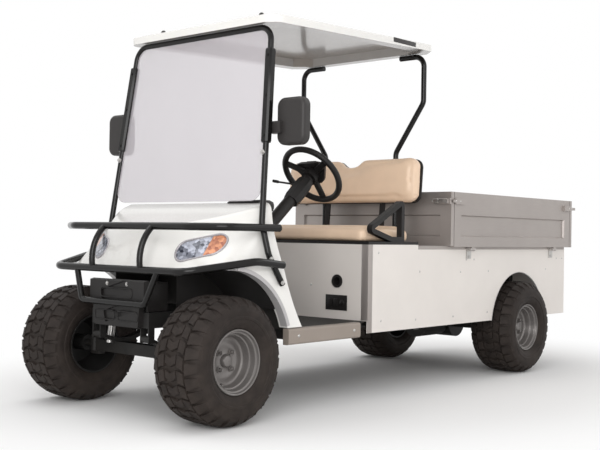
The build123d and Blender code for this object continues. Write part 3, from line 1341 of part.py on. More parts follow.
with BuildPart() as gate_left:
    gate_panel(SIDE_GATE, GATE_LENGTH, SIDE_HINGES)
    box_between(
        (GATE_FRONT_X - LATCH_LENGTH, GATE_OUT, LATCH_Z - LATCH_H / 2),
        (GATE_FRONT_X, STRAP_Y + STRAP_T, LATCH_Z + LATCH_H / 2),
    )
    box_between(
        (GATE_FRONT_X, STRAP_Y, LATCH_Z - LATCH_H / 4),
        (BED_X - LATCH_T / 2, STRAP_Y + STRAP_T, LATCH_Z + LATCH_H / 4),
    )
    box_between(
        (GATE_REAR_X, GATE_OUT, LATCH_Z - LATCH_H / 2),
        (GATE_REAR_X + LATCH_LENGTH, GATE_OUT + LATCH_T, LATCH_Z + LATCH_H / 2),
    )
    box_between(
        (TAILGATE_X - GATE_T, STRAP_Y, LATCH_Z - LATCH_H / 4),
        (GATE_REAR_X, STRAP_Y + STRAP_T, LATCH_Z + LATCH_H / 4),
    )
gate_left.part.label = "gate_left"
export_step(gate_left.part, "parts/gate_left.step")

with BuildPart() as gate_right:
    mirror(gate_left.part, about=Plane.XZ)
gate_right.part.label = "gate_right"
export_step(gate_right.part, "parts/gate_right.step")

KEEPER_X = TAILGATE_X - GATE_T

with BuildPart() as tailgate:
    gate_panel(TAIL_GATE, 2 * GATE_OUT, TAIL_HINGES)
    for side in (1, -1):
        with BuildSketch(Plane.XY.offset(LATCH_Z - LATCH_H / 4)):
            with Locations((KEEPER_X, side * (GATE_OUT - LATCH_H / 2))):
                Rectangle(KEEPER_X - TAIL_X, LATCH_H, align=(Align.MAX, Align.CENTER))
            with Locations((KEEPER_X - STRAP_T, side * (GATE_OUT - LATCH_H / 2))):
                Rectangle(
                    KEEPER_X - TAIL_X - 2 * STRAP_T, LATCH_H - 2 * STRAP_T,
                    align=(Align.MAX, Align.CENTER), mode=Mode.SUBTRACT,
                )
        extrude(amount=LATCH_H / 2)
tailgate.part.label = "tailgate"
export_step(tailgate.part, "parts/tailgate.step")

with BuildPart() as hinge_brackets:
    for place in SIDE_HINGES:
        hinge_bracket(SIDE_GATE, place)
    mirror(about=Plane.XZ)
    for place in TAIL_HINGES:
        hinge_bracket(TAIL_GATE, place)
hinge_brackets.part.label = "hinge_brackets"
export_step(hinge_brackets.part, "parts/hinge_brackets.step")
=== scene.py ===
import math

import bmesh
import bpy
from mathutils import Matrix, Vector
from mathutils.bvhtree import BVHTree


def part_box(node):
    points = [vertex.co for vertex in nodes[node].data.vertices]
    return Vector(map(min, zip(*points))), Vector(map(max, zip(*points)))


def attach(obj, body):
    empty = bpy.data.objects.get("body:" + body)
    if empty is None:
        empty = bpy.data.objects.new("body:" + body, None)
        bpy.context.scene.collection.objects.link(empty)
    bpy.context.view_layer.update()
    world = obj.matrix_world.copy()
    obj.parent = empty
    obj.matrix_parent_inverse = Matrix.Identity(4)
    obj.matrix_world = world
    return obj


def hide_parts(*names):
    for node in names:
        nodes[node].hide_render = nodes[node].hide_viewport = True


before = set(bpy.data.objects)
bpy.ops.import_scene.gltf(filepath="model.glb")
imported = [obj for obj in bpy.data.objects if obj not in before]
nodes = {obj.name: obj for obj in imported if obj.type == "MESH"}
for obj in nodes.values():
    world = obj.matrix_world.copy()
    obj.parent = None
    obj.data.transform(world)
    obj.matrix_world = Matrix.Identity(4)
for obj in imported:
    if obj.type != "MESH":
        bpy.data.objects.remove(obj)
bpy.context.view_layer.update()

# Stations and sizes of the vehicle in metres
FRONT_X = 1.48025
REAR_X = -1.05975
WHEEL_Z = 0.2795
HALF_TRACK = 0.485
RISER_X = 0.49025
BODY_Y = 0.541
DECK_Z = 0.782
PANEL_LOW_Z = 0.335
ARCH_R = 0.391
REAR_ARCH_R = 0.330
REAR_ARCH_Z = 0.287


# Materials
NOISE_LOW = 0.3
NOISE_HIGH = 0.7
COAT_ROUGHNESS = 0.06
DUST_SCALE = 14.0
FINE_DETAIL = 6.0


def noise_node(tree, scale, detail=4.0, stretch=(1, 1, 1)):
    """Noise in object space, stretched along the axes."""
    coords = tree.nodes.new("ShaderNodeTexCoord")
    mapping = tree.nodes.new("ShaderNodeMapping")
    mapping.inputs["Scale"].default_value = stretch
    noise = tree.nodes.new("ShaderNodeTexNoise")
    noise.inputs["Scale"].default_value = scale
    noise.inputs["Detail"].default_value = detail
    tree.links.new(coords.outputs["Object"], mapping.inputs["Vector"])
    tree.links.new(mapping.outputs["Vector"], noise.inputs["Vector"])
    return noise


def map_range(tree, source, low, high):
    """Carry a noise value to a range."""
    node = tree.nodes.new("ShaderNodeMapRange")
    node.inputs["From Min"].default_value = NOISE_LOW
    node.inputs["From Max"].default_value = NOISE_HIGH
    node.inputs["To Min"].default_value = low
    node.inputs["To Max"].default_value = high
    tree.links.new(source, node.inputs["Value"])
    return node.outputs["Result"]


def two_tone(tree, factor, dark, light):
    """Mix two colours by a factor."""
    mix = tree.nodes.new("ShaderNodeMix")
    mix.data_type = "RGBA"
    mix.inputs["A"].default_value = (*dark, 1)
    mix.inputs["B"].default_value = (*light, 1)
    tree.links.new(factor, mix.inputs["Factor"])
    return mix.outputs["Result"]


def material(
    name, colour, roughness, metallic=0.0, coat=0.0, blotch=0.06, blotch_scale=4.0,
    grain=300.0, bump=0.05, depth=0.0006, stretch=(1, 1, 1), spread=0.08, alpha=1.0, specular=0.5,
):
    """Surface with soft colour variation, uneven gloss and a fine grain."""
    mat = bpy.data.materials.new(name)
    mat.use_nodes = True
    tree = mat.node_tree
    shader = tree.nodes["Principled BSDF"]
    shader.inputs["Metallic"].default_value = metallic
    shader.inputs["Specular IOR Level"].default_value = specular
    shader.inputs["Coat Weight"].default_value = coat
    shader.inputs["Coat Roughness"].default_value = COAT_ROUGHNESS
    shader.inputs["Alpha"].default_value = alpha
    patches = noise_node(tree, blotch_scale)
    dark = [c * (1 - blotch) for c in colour]
    light = [min(1, c * (1 + blotch)) for c in colour]
    spots = map_range(tree, patches.outputs["Fac"], 0.0, 1.0)
    tree.links.new(two_tone(tree, spots, dark, light), shader.inputs["Base Color"])
    fine = noise_node(tree, grain, FINE_DETAIL, stretch)
    gloss = map_range(tree, fine.outputs["Fac"], roughness - spread, roughness + spread)
    tree.links.new(gloss, shader.inputs["Roughness"])
    relief = tree.nodes.new("ShaderNodeBump")
    relief.inputs["Strength"].default_value = bump
    relief.inputs["Distance"].default_value = depth
    tree.links.new(fine.outputs["Fac"], relief.inputs["Height"])
    tree.links.new(relief.outputs["Normal"], shader.inputs["Normal"])
    return mat


def dust(mat, colour, top, share):
    """Lay dust on a material: full at the ground and gone at the height top."""
    tree = mat.node_tree
    shader = tree.nodes["Principled BSDF"]
    base = shader.inputs["Base Color"].links[0].from_socket
    place = tree.nodes.new("ShaderNodeTexCoord")
    split = tree.nodes.new("ShaderNodeSeparateXYZ")
    fade = tree.nodes.new("ShaderNodeMapRange")
    fade.inputs["From Min"].default_value = 0.0
    fade.inputs["From Max"].default_value = top
    fade.inputs["To Min"].default_value = share
    fade.inputs["To Max"].default_value = 0.0
    cloud = noise_node(tree, DUST_SCALE, FINE_DETAIL)
    product = tree.nodes.new("ShaderNodeMath")
    product.operation = "MULTIPLY"
    mix = tree.nodes.new("ShaderNodeMix")
    mix.data_type = "RGBA"
    mix.inputs["B"].default_value = (*colour, 1)
    tree.links.new(place.outputs["Object"], split.inputs["Vector"])
    tree.links.new(split.outputs["Z"], fade.inputs["Value"])
    tree.links.new(fade.outputs["Result"], product.inputs[0])
    tree.links.new(map_range(tree, cloud.outputs["Fac"], 0.2, 1.4), product.inputs[1])
    tree.links.new(product.outputs["Value"], mix.inputs["Factor"])
    tree.links.new(base, mix.inputs["A"])
    tree.links.new(mix.outputs["Result"], shader.inputs["Base Color"])
    return mat


CREAM = (0.80, 0.785, 0.755)
DUST = (0.20, 0.165, 0.135)

cream = material("cream_gelcoat", CREAM, 0.24, coat=0.35, blotch=0.02, bump=0.01, spread=0.05)
# the roof's underside: the cream darkened to grey as painted shade
roof_underside_shade = material("ceiling_painted_shade", (0.33, 0.31, 0.29), 0.22, coat=0.3, blotch=0.05, bump=0.02)
white_panel = material(
    "white_panel", (0.74, 0.695, 0.655), 0.42, coat=0.1, blotch=0.03, bump=0.03, grain=180.0,
)
pale_panel = material(
    "pale_panel", (0.68, 0.635, 0.595), 0.4, coat=0.1, blotch=0.03, bump=0.03, grain=180.0, specular=0.4,
)
beige = material(
    "beige_panel", (0.29, 0.247, 0.213), 0.45, blotch=0.04, bump=0.03, grain=180.0, specular=0.3,
)
black_coat = material(
    "black_powder_coat", (0.0055, 0.005, 0.0047), 0.2, blotch=0.2, grain=520.0, bump=0.05, specular=0.3,
)
frame_black = dust(
    material("frame_black", (0.014, 0.0135, 0.013), 0.5, blotch=0.25, grain=260.0, bump=0.15, specular=0.25),
    DUST, 0.5, 0.06,
)
moulded_black = material(
    "moulded_black", (0.014, 0.0125, 0.012), 0.46, blotch=0.12, grain=900.0,
    bump=0.2, depth=0.0004, specular=0.25,
)
dark_grey = material(
    "dark_grey_plastic", (0.034, 0.031, 0.030), 0.45, blotch=0.1, grain=1100.0,
    bump=0.25, depth=0.0004, specular=0.3,
)
rubber = dust(
    material(
        "tyre_rubber", (0.0225, 0.0175, 0.0155), 0.66, blotch=0.3, blotch_scale=22.0,
        grain=420.0, bump=0.3, specular=0.18,
    ),
    (0.052, 0.040, 0.032), 0.62, 0.35,
)
silver = material(
    "silver_paint", (0.175, 0.162, 0.155), 0.36, metallic=0.5, coat=0.08, blotch=0.08, grain=350.0,
)
# the rim's inner barrel, near-black: painted shade inside the silver rim
inner_barrel_shade = material(
    "inner_rim_painted_shade", (0.014, 0.0135, 0.013), 0.5, blotch=0.2, grain=260.0, bump=0.1, specular=0.25,
)
aluminium = material(
    "brushed_aluminium", (0.37, 0.335, 0.315), 0.42, metallic=0.6, blotch=0.06, blotch_scale=2.5,
    grain=55.0, bump=0.06, stretch=(0.25, 6.0, 14.0), spread=0.1,
)
steel = material("zinc_steel", (0.50, 0.485, 0.47), 0.32, metallic=0.9, blotch=0.12, grain=320.0, bump=0.06)
vinyl = material(
    "tan_vinyl", (0.82, 0.61, 0.44), 0.44, coat=0.05, blotch=0.05, blotch_scale=6.0,
    grain=620.0, bump=0.28, depth=0.0005, specular=0.4,
)
floor_mat = material(
    "floor_rubber", (0.028, 0.026, 0.024), 0.7, blotch=0.2, grain=260.0, bump=0.35, specular=0.25,
)
screen = material(
    "screen_plastic", (0.60, 0.565, 0.595), 0.10, coat=0.3, blotch=0.015, bump=0.0, spread=0.02, alpha=0.52,
)
red_lens = material(
    "red_lens", (0.42, 0.018, 0.014), 0.16, coat=0.8, blotch=0.12, grain=90.0, bump=0.3, depth=0.001,
)
mirror_glass = material(
    "mirror_glass", (0.86, 0.87, 0.88), 0.05, metallic=1.0, blotch=0.02, bump=0.0, spread=0.02,
)
bezel_grey = material(
    "bezel_grey", (0.36, 0.34, 0.355), 0.25, metallic=0.35, coat=0.5, blotch=0.06, bump=0.02,
)
# grey laid over the cream arch lips: painted shade where the lips face the wheels
arch_lip_painted_shade = material(
    "arch_lip_painted_shade", (0.46, 0.445, 0.445), 0.35, metallic=0.2, coat=0.2, blotch=0.06, bump=0.04,
)

# Lamp lens: density of the facets that carry painted reflections, and the distance from the middle where its
# amber part starts
FACET_SCALE = 58.0
AMBER_FROM_Y = 0.386


def lamp_reflection_material():
    """Facetted bright reflector behind a clear skin, with an amber outer part; each facet's colour is a
    painted reflection, anywhere from dark to bright.
    """
    mat = material("lamp_painted_reflections", (0.40, 0.42, 0.48), 0.16, metallic=0.35, coat=0.6, blotch=0.2, bump=0.0)
    tree = mat.node_tree
    shader = tree.nodes["Principled BSDF"]
    coords = tree.nodes.new("ShaderNodeTexCoord")
    cells = tree.nodes.new("ShaderNodeTexVoronoi")
    cells.inputs["Scale"].default_value = FACET_SCALE
    tree.links.new(coords.outputs["Object"], cells.inputs["Vector"])
    split = tree.nodes.new("ShaderNodeSeparateXYZ")
    tree.links.new(coords.outputs["Object"], split.inputs["Vector"])
    away = tree.nodes.new("ShaderNodeMath")
    away.operation = "ABSOLUTE"
    tree.links.new(split.outputs["Y"], away.inputs[0])
    outer = tree.nodes.new("ShaderNodeMath")
    outer.operation = "GREATER_THAN"
    outer.inputs[1].default_value = AMBER_FROM_Y
    tree.links.new(away.outputs["Value"], outer.inputs[0])
    shade = tree.nodes.new("ShaderNodeSeparateColor")
    tree.links.new(cells.outputs["Color"], shade.inputs["Color"])
    # painted reflections: each facet takes a shade from dark to bright, clear in the middle and amber outside
    clear = two_tone(tree, shade.outputs["Red"], (0.045, 0.05, 0.07), (0.44, 0.46, 0.54))
    amber = two_tone(tree, shade.outputs["Green"], (0.24, 0.05, 0.015), (0.66, 0.27, 0.12))
    pick = tree.nodes.new("ShaderNodeMix")
    pick.data_type = "RGBA"
    tree.links.new(outer.outputs["Value"], pick.inputs["Factor"])
    tree.links.new(clear, pick.inputs["A"])
    tree.links.new(amber, pick.inputs["B"])
    tree.links.new(pick.outputs["Result"], shader.inputs["Base Color"])
    relief = tree.nodes.new("ShaderNodeBump")
    relief.inputs["Strength"].default_value = 0.35
    relief.inputs["Distance"].default_value = 0.003
    tree.links.new(cells.outputs["Distance"], relief.inputs["Height"])
    tree.links.new(relief.outputs["Normal"], shader.inputs["Normal"])
    return mat


lamp_painted_reflections = lamp_reflection_material()


# Mesh helpers

class Builder:
    """Collects shapes into one mesh."""

    def __init__(self):
        self.bm = bmesh.new()

    def box(self, low, high, bevel):
        """Block between two corners with rounded edges."""
        low, high = Vector(low), Vector(high)
        place = Matrix.Translation((low + high) / 2) @ Matrix.Diagonal((*(high - low), 1))
        made = bmesh.ops.create_cube(self.bm, size=1, matrix=place)["verts"]
        edges = list({e for v in made for e in v.link_edges})
        bmesh.ops.bevel(self.bm, geom=edges, offset=bevel, segments=2, affect="EDGES", profile=0.5)

    def box_pair(self, low, high, bevel):
        """Block on the left side and its mirror image on the right."""
        self.box(low, high, bevel)
        self.box((low[0], -high[1], low[2]), (high[0], -low[1], high[2]), bevel)

    def rings(self, rings, closed=False):
        """Skin over rings of points; closed joins the last ring to the first."""
        rows = [[self.bm.verts.new(p) for p in ring] for ring in rings]
        count = len(rows[0])
        pairs = list(zip(rows, rows[1:]))
        if closed:
            pairs.append((rows[-1], rows[0]))
        faces = []
        for a, b in pairs:
            for i in range(count):
                j = (i + 1) % count
                faces.append(self.bm.faces.new((a[i], a[j], b[j], b[i])))
        if not closed:
            faces.append(self.bm.faces.new(list(reversed(rows[0]))))
            faces.append(self.bm.faces.new(rows[-1]))
        return faces

    def turned(self, centre, axis, profile, segments=32, closed=False):
        """Turn a profile of (along, radius) points about an axis."""
        axis = Vector(axis).normalized()
        side = axis.orthogonal().normalized()
        other = axis.cross(side)
        rings = []
        for along, radius in profile:
            ring = []
            for i in range(segments):
                a = 2 * math.pi * i / segments
                outward = side * math.cos(a) + other * math.sin(a)
                ring.append(Vector(centre) + axis * along + outward * radius)
            rings.append(ring)
        return self.rings(rings, closed)

    def tube(self, points, radius, segments=12, closed=False):
        """Round bar along points; closed joins its ends."""
        points = [Vector(p) for p in points]
        count = len(points)
        rings = []
        normal = None
        for i, p in enumerate(points):
            after = points[(i + 1) % count] if closed else points[min(i + 1, count - 1)]
            before = points[i - 1] if closed else points[max(i - 1, 0)]
            ahead = (after - before).normalized()
            if normal is None:
                normal = ahead.orthogonal().normalized()
            normal = (normal - ahead * normal.dot(ahead)).normalized()
            other = ahead.cross(normal)
            ring = []
            for k in range(segments):
                a = 2 * math.pi * k / segments
                ring.append(p + (normal * math.cos(a) + other * math.sin(a)) * radius)
            rings.append(ring)
        self.rings(rings, closed)

    def bar(self, start, end, side, width, thick, ease=0.2):
        """Flat bar between two points: width lies along side, and its edges are eased."""
        start, end = Vector(start), Vector(end)
        ahead = (end - start).normalized()
        side = Vector(side)
        side = (side - ahead * side.dot(ahead)).normalized()
        face = ahead.cross(side)
        cut = ease * min(width, thick)
        w, t = width / 2, thick / 2
        section = (
            (w - cut, -t), (w, cut - t), (w, t - cut), (w - cut, t),
            (cut - w, t), (-w, t - cut), (-w, cut - t), (cut - w, -t),
        )
        inset = min(cut, (end - start).length / 4)
        rings = []
        for at, scale in ((start, 0.9), (start + ahead * inset, 1), (end - ahead * inset, 1), (end, 0.9)):
            rings.append([at + (side * a + face * b) * scale for a, b in section])
        self.rings(rings)

    def bolt(self, centre, axis, radius, height):
        """Hexagon head on a washer with a domed top."""
        self.turned(centre, axis, ((0, radius * 1.5), (height * 0.3, radius * 1.45)), 20)
        self.turned(
            centre, axis,
            ((height * 0.25, radius), (height * 0.85, radius), (height, radius * 0.82)), 6,
        )

    def rivet(self, centre, axis, radius, height):
        """Domed rivet head."""
        dome = ((0, 1), (0.5, 0.86), (0.85, 0.5), (1, 0.12))
        self.turned(centre, axis, [(height * along, radius * out) for along, out in dome], 10)

    def make(self, name, body, mats, smooth=40.0, replaced=()):
        """Finish the mesh as a piece of the object that rides on a body."""
        bmesh.ops.recalc_face_normals(self.bm, faces=self.bm.faces)
        mesh = bpy.data.meshes.new(name)
        self.bm.to_mesh(mesh)
        self.bm.free()
        for mat in mats if isinstance(mats, (list, tuple)) else (mats,):
            mesh.materials.append(mat)
        obj = bpy.data.objects.new(name, mesh)
        bpy.context.scene.collection.objects.link(obj)
        soften(obj, smooth)
        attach(obj, body)
        if replaced:
            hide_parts(*replaced)
        return obj


def soften(obj, angle):
    """Smooth shading with creases kept at sharp edges."""
    for polygon in obj.data.polygons:
        polygon.use_smooth = True
    split = obj.modifiers.new("creases", "EDGE_SPLIT")
    split.split_angle = math.radians(angle)


skins = {}


def touch(node, start, direction):
    """Point and outward direction where a ray first meets a CAD node, or None twice."""
    if node not in skins:
        mesh = nodes[node].data
        skins[node] = BVHTree.FromPolygons(
            [v.co.copy() for v in mesh.vertices], [tuple(p.vertices) for p in mesh.polygons],
        )
    place, normal, _, _ = skins[node].ray_cast(Vector(start), Vector(direction))
    if normal is not None and normal.dot(Vector(direction)) > 0:
        normal = -normal
    return place, normal


# Finish of the CAD nodes: node, material, edge rounding in metres
FINISH = (
    ("front_axle", frame_black, 0.002), ("rear_axle", frame_black, 0.002),
    ("knuckle_left", frame_black, 0.001), ("knuckle_right", frame_black, 0.001),
    ("leaf_springs", frame_black, 0.001), ("tie_rod", steel, 0.0),
    ("frame_rails", frame_black, 0.003), ("cross_members", frame_black, 0.003),
    ("battery_pack", moulded_black, 0.004), ("floor_pan", floor_mat, 0.001), ("pedals", floor_mat, 0.002),
    ("sills", beige, 0.002), ("seat_riser", pale_panel, 0.0), ("cowl", cream, 0.0),
    ("headlamps", lamp_painted_reflections, 0.0), ("dash", dark_grey, 0.004), ("steering_column", moulded_black, 0.001),
    ("wheel_liners", moulded_black, 0.0), ("charge_socket", moulded_black, 0.001),
    ("bumper_cover", moulded_black, 0.0), ("steering_wheel", moulded_black, 0.0),
    ("mirrors", dark_grey, 0.009),
    ("front_hoop", black_coat, 0.0), ("rear_struts", black_coat, 0.0), ("brush_guard", black_coat, 0.0),
    ("hip_restraints", moulded_black, 0.005), ("windscreen", screen, 0.0), ("roof", cream, 0.006),
    ("seat_deck", moulded_black, 0.003), ("side_panels", white_panel, 0.0015),
    ("rear_panel", white_panel, 0.001), ("tail_lamps", red_lens, 0.001), ("bed_floor", aluminium, 0.001),
    ("front_board", aluminium, 0.0025), ("gate_left", aluminium, 0.0025), ("gate_right", aluminium, 0.0025),
    ("tailgate", aluminium, 0.0025), ("hinge_brackets", steel, 0.001),
)

CREASE_ANGLE = 32.0
ROUNDED_ANGLE = math.radians(40)

for name, mat, rounding in FINISH:
    node = nodes[name]
    node.data.materials.clear()
    node.data.materials.append(mat)
    soften(node, CREASE_ANGLE)
    if rounding:
        edge = node.modifiers.new("edges", "BEVEL")
        edge.width = rounding
        edge.segments = 2
        edge.limit_method = "ANGLE"
        edge.angle_limit = ROUNDED_ANGLE
        node.modifiers.move(1, 0)


# Tyres: a rounded carcass with staggered shoulder lugs and chevron blocks
# Profiles are points of (across from the wheel's middle, radius)
CARCASS = (
    (0.112, 0.1425), (0.122, 0.150), (0.131, 0.166), (0.1345, 0.172), (0.1355, 0.178),
    (0.1365, 0.184), (0.1395, 0.187), (0.1400, 0.196), (0.1385, 0.199), (0.1390, 0.214),
    (0.1360, 0.230), (0.1280, 0.246), (0.1130, 0.258), (0.0900, 0.2645), (0.0500, 0.2685), (0.0, 0.2695),
)
CARCASS_SEGMENTS = 108
CROWN_FROM_R = 0.214
CROWN = tuple(point for point in CARCASS if point[1] >= CROWN_FROM_R)
TREAD_TOP = (
    (0.0, 0.2795), (0.060, 0.2792), (0.090, 0.2765), (0.110, 0.2690), (0.124, 0.2585), (0.1335, 0.2440),
)
# Levels of a block: share of the tread's height, scale of the outline
BLOCK_LEVELS = ((-0.35, 1.04), (0.75, 1.0), (1.0, 0.92))
PITCHES = 27
PITCH = 2 * math.pi / PITCHES
# Outlines in one pitch: points of (across in metres, turn in pitches)
SHOULDER_LUG = (
    (0.081, 0.52), (0.100, 0.46), (0.118, 0.46), (0.1335, 0.49),
    (0.1335, 1.16), (0.118, 1.22), (0.100, 1.26), (0.081, 1.32),
)
MIDDLE_BLOCK = ((0.038, 0.04), (0.056, 0.08), (0.075, 0.20), (0.075, 1.00), (0.056, 0.88), (0.038, 0.84))
CENTRE_BLOCK = ((-0.032, 0.02), (0.0, 0.26), (0.032, 0.02), (0.032, 0.58), (0.0, 0.84), (-0.032, 0.58))


def along_profile(profile, across):
    """Radius of a profile at a distance from the wheel's middle."""
    across = abs(across)
    points = sorted(profile)
    for (u0, r0), (u1, r1) in zip(points, points[1:]):
        if u0 <= across <= u1:
            return r0 + (r1 - r0) * (across - u0) / (u1 - u0)
    return points[-1][1]


def make_tyre(name, wheel_x, side):
    """One tyre on its wheel's centre."""
    build = Builder()

    def place(across, radius, turn):
        return Vector((
            wheel_x + radius * math.sin(turn),
            side * (HALF_TRACK + across),
            WHEEL_Z + radius * math.cos(turn),
        ))

    outline = list(CARCASS) + [(-u, r) for u, r in reversed(CARCASS[:-1])]
    turns = [2 * math.pi * i / CARCASS_SEGMENTS for i in range(CARCASS_SEGMENTS)]
    build.rings([[place(u, r, turn) for turn in turns] for u, r in outline], closed=True)
    blocks = [(CENTRE_BLOCK, 1)]
    blocks += [(shape, half) for shape in (SHOULDER_LUG, MIDDLE_BLOCK) for half in (1, -1)]
    for i in range(PITCHES):
        for shape, half in blocks:
            mid_u = sum(u for u, _ in shape) / len(shape)
            mid_t = sum(t for _, t in shape) / len(shape)
            rows = []
            for lift, shrink in BLOCK_LEVELS:
                row = []
                for u, t in shape:
                    across = mid_u + (u - mid_u) * shrink
                    turn = (i + mid_t + (t - mid_t) * shrink) * PITCH
                    low = along_profile(CROWN, across)
                    top = along_profile(TREAD_TOP, across)
                    row.append(place(half * across, low + (top - low) * lift, turn))
                rows.append(row)
            build.rings(rows)
    build.make(f"tread_{name}", f"wheel_{name}", rubber, 28.0, (f"tyre_{name}",))


# Rims: rolled flange, stepped dish, pressed disc, and an inner barrel painted near-black as painted shade
# Profiles are points of (across from the wheel's middle, radius)
DISH = (
    (-0.1150, 0.1418), (0.1145, 0.1418), (0.1175, 0.1400), (0.1180, 0.1365), (0.1160, 0.1335),
    (0.1100, 0.1320), (0.1060, 0.1300), (0.1040, 0.1240), (0.0990, 0.1215), (0.0820, 0.1200),
    (0.0780, 0.1180), (0.0760, 0.1130), (0.0710, 0.1105), (0.0540, 0.1085), (0.0460, 0.1050),
    (0.0410, 0.0980), (0.0400, 0.0860), (0.0425, 0.0800), (0.0425, 0.0620), (0.0395, 0.0560),
    (0.0395, 0.0400), (0.0420, 0.0300), (0.0540, 0.0270), (0.0600, 0.0225), (0.0625, 0.0120),
    (0.0630, 0.0010),
)
BARREL = (
    (0.0215, 0.0010), (0.0215, 0.0160), (-0.0550, 0.0160), (-0.0560, 0.0370), (0.0280, 0.0390),
    (0.0290, 0.1010), (-0.0900, 0.1280), (-0.1130, 0.1335),
)
RIM_SEGMENTS = 72
NUTS = 4
NUT_CIRCLE = 0.0505
NUT_FACE = 0.0400
NUT = (0.0095, 0.017)
STUD = ((0.015, 0.0060), (0.024, 0.0055))
VALVE_AT = (0.058, 0.0850, -0.096)
VALVE_LEAN = (0.3, 1, -0.5)
VALVE = ((-0.012, 0.0060), (0.006, 0.0048), (0.008, 0.0030), (0.024, 0.0030))


def make_rim(name, wheel_x, side):
    """One rim with its nuts, dust cap and valve."""
    build = Builder()
    centre = Vector((wheel_x, side * HALF_TRACK, WHEEL_Z))
    mirror = Vector((1, side, 1))
    axis = (0, side, 0)
    faces = build.turned(centre, axis, DISH + BARREL, RIM_SEGMENTS, closed=True)
    # the barrel's faces take the near-black material: painted shade
    for face in faces[RIM_SEGMENTS * (len(DISH) - 1):]:
        face.material_index = 1
    for i in range(NUTS):
        a = 2 * math.pi * (i + 0.5) / NUTS
        spot = centre + Vector((math.sin(a) * NUT_CIRCLE, side * NUT_FACE, math.cos(a) * NUT_CIRCLE))
        build.bolt(spot, axis, *NUT)
        build.turned(spot, axis, STUD, 12)
    build.turned(centre + Vector(VALVE_AT) * mirror, Vector(VALVE_LEAN) * mirror, VALVE, 12)
    build.make(f"wheel_{name}_rim", f"wheel_{name}", (silver, inner_barrel_shade), 30.0, (f"rim_{name}",))


WHEELS = (
    ("front_left", FRONT_X, 1), ("front_right", FRONT_X, -1),
    ("rear_left", REAR_X, 1), ("rear_right", REAR_X, -1),
)

for name, wheel_x, side in WHEELS:
    make_tyre(name, wheel_x, side)
    make_rim(name, wheel_x, side)


# Seat: the cushion and the back are swollen by a cloth simulation
CLOTH_FRAMES = 16
CLOTH_QUALITY = 4
PRESSURE = 4.0
VOXEL = 0.009
SWELL_CAP = 0.020
SHRINK = (0.012, 0.012, 0.010)
SMOOTH_PASSES = 6
SHELL_EDGE_R = 0.002
WELD = 1e-5


def even_mesh(node, side):
    """Mesh of a node whose half on one side of the middle plane is mirrored onto the other side."""
    build = bmesh.new()
    build.from_mesh(nodes[node].data)
    bmesh.ops.remove_doubles(build, verts=build.verts[:], dist=WELD)
    whole = build.verts[:] + build.edges[:] + build.faces[:]
    bmesh.ops.bisect_plane(build, geom=whole, plane_co=(0, 0, 0), plane_no=(0, side, 0), clear_inner=True)
    half = build.verts[:] + build.edges[:] + build.faces[:]
    bmesh.ops.mirror(build, geom=half, axis="Y", merge_dist=10 * WELD)
    bmesh.ops.recalc_face_normals(build, faces=build.faces[:])
    mesh = bpy.data.meshes.new(f"{node}_even")
    build.to_mesh(mesh)
    build.free()
    return mesh


def make_back_shell():
    """Back shell with both its top corners round."""
    mesh = even_mesh("seat_back_shell", -1)
    mesh.materials.append(moulded_black)
    shell = bpy.data.objects.new("back_shell", mesh)
    bpy.context.scene.collection.objects.link(shell)
    edge = shell.modifiers.new("edge", "BEVEL")
    edge.width = SHELL_EDGE_R
    edge.segments = 2
    soften(shell, 40.0)
    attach(shell, "chassis")
    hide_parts("seat_back_shell")


def make_pad(name, node, keep_flat):
    """Vinyl pad from a node's solid; keep_flat is the outward side that stays against its support."""
    low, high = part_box(node)
    middle = (low + high) / 2
    size = high - low
    mesh = even_mesh(node, 1)
    mesh.materials.append(vinyl)
    support = Vector(keep_flat)
    for vertex in mesh.vertices:
        for k in range(3):
            smaller = 1 - 2 * SHRINK[k] / size[k]
            vertex.co[k] = middle[k] + (vertex.co[k] - middle[k]) * smaller + support[k] * SHRINK[k]
    pad = bpy.data.objects.new(name, mesh)
    bpy.context.scene.collection.objects.link(pad)
    bpy.context.view_layer.objects.active = pad
    remesh = pad.modifiers.new("remesh", "REMESH")
    remesh.mode = "VOXEL"
    remesh.voxel_size = VOXEL
    bpy.ops.object.modifier_apply(modifier="remesh")
    start = [(v.co.copy(), v.normal.copy()) for v in pad.data.vertices]
    cloth = pad.modifiers.new("cloth", "CLOTH")
    cloth.settings.use_pressure = True
    cloth.settings.uniform_pressure_force = PRESSURE
    cloth.settings.effector_weights.gravity = 0.0
    cloth.settings.quality = CLOTH_QUALITY
    for step in range(1, CLOTH_FRAMES + 1):
        bpy.context.scene.frame_set(step)
    bpy.ops.object.modifier_apply(modifier="cloth")
    bpy.context.scene.frame_set(1)
    for vertex, (origin, outward) in zip(pad.data.vertices, start):
        move = vertex.co - origin
        move -= outward * min(0, move.dot(outward))
        move -= support * max(0, move.dot(support))
        if move.length > SWELL_CAP:
            move *= SWELL_CAP / move.length
        vertex.co = origin + move
    for polygon in pad.data.polygons:
        polygon.use_smooth = True
    smooth = pad.modifiers.new("smooth", "SMOOTH")
    smooth.factor = 0.5
    smooth.iterations = SMOOTH_PASSES
    bpy.ops.object.modifier_apply(modifier="smooth")
    pad.modifiers.new("fine", "SUBSURF").levels = 1
    pad.modifiers["fine"].render_levels = 1
    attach(pad, "chassis")
    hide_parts(node)


make_pad("cushion_vinyl", "seat_cushion", (0, 0, -1))
make_pad("back_vinyl", "seat_back", (-1, 0, 0))
make_back_shell()


# Roof: an underside painted grey as painted shade, bolts on the front edge, a blank inset on the left rim and
# a low dome
CEILING_TILT = -0.3
ROOF_BOLTS = ((1.150, 0.395), (1.150, -0.290))
ROOF_BOLT = (0.012, 0.008)
ROOF_INSET = ((0.262, 1.8585), (0.060, 1.8605))
ROOF_INSET_SIZE = (0.024, 0.004)
ROOF_DOME = (1.07, 0.09)
ROOF_DOME_PROFILE = ((-0.004, 0.046), (0.003, 0.043), (0.008, 0.030), (0.010, 0.004))


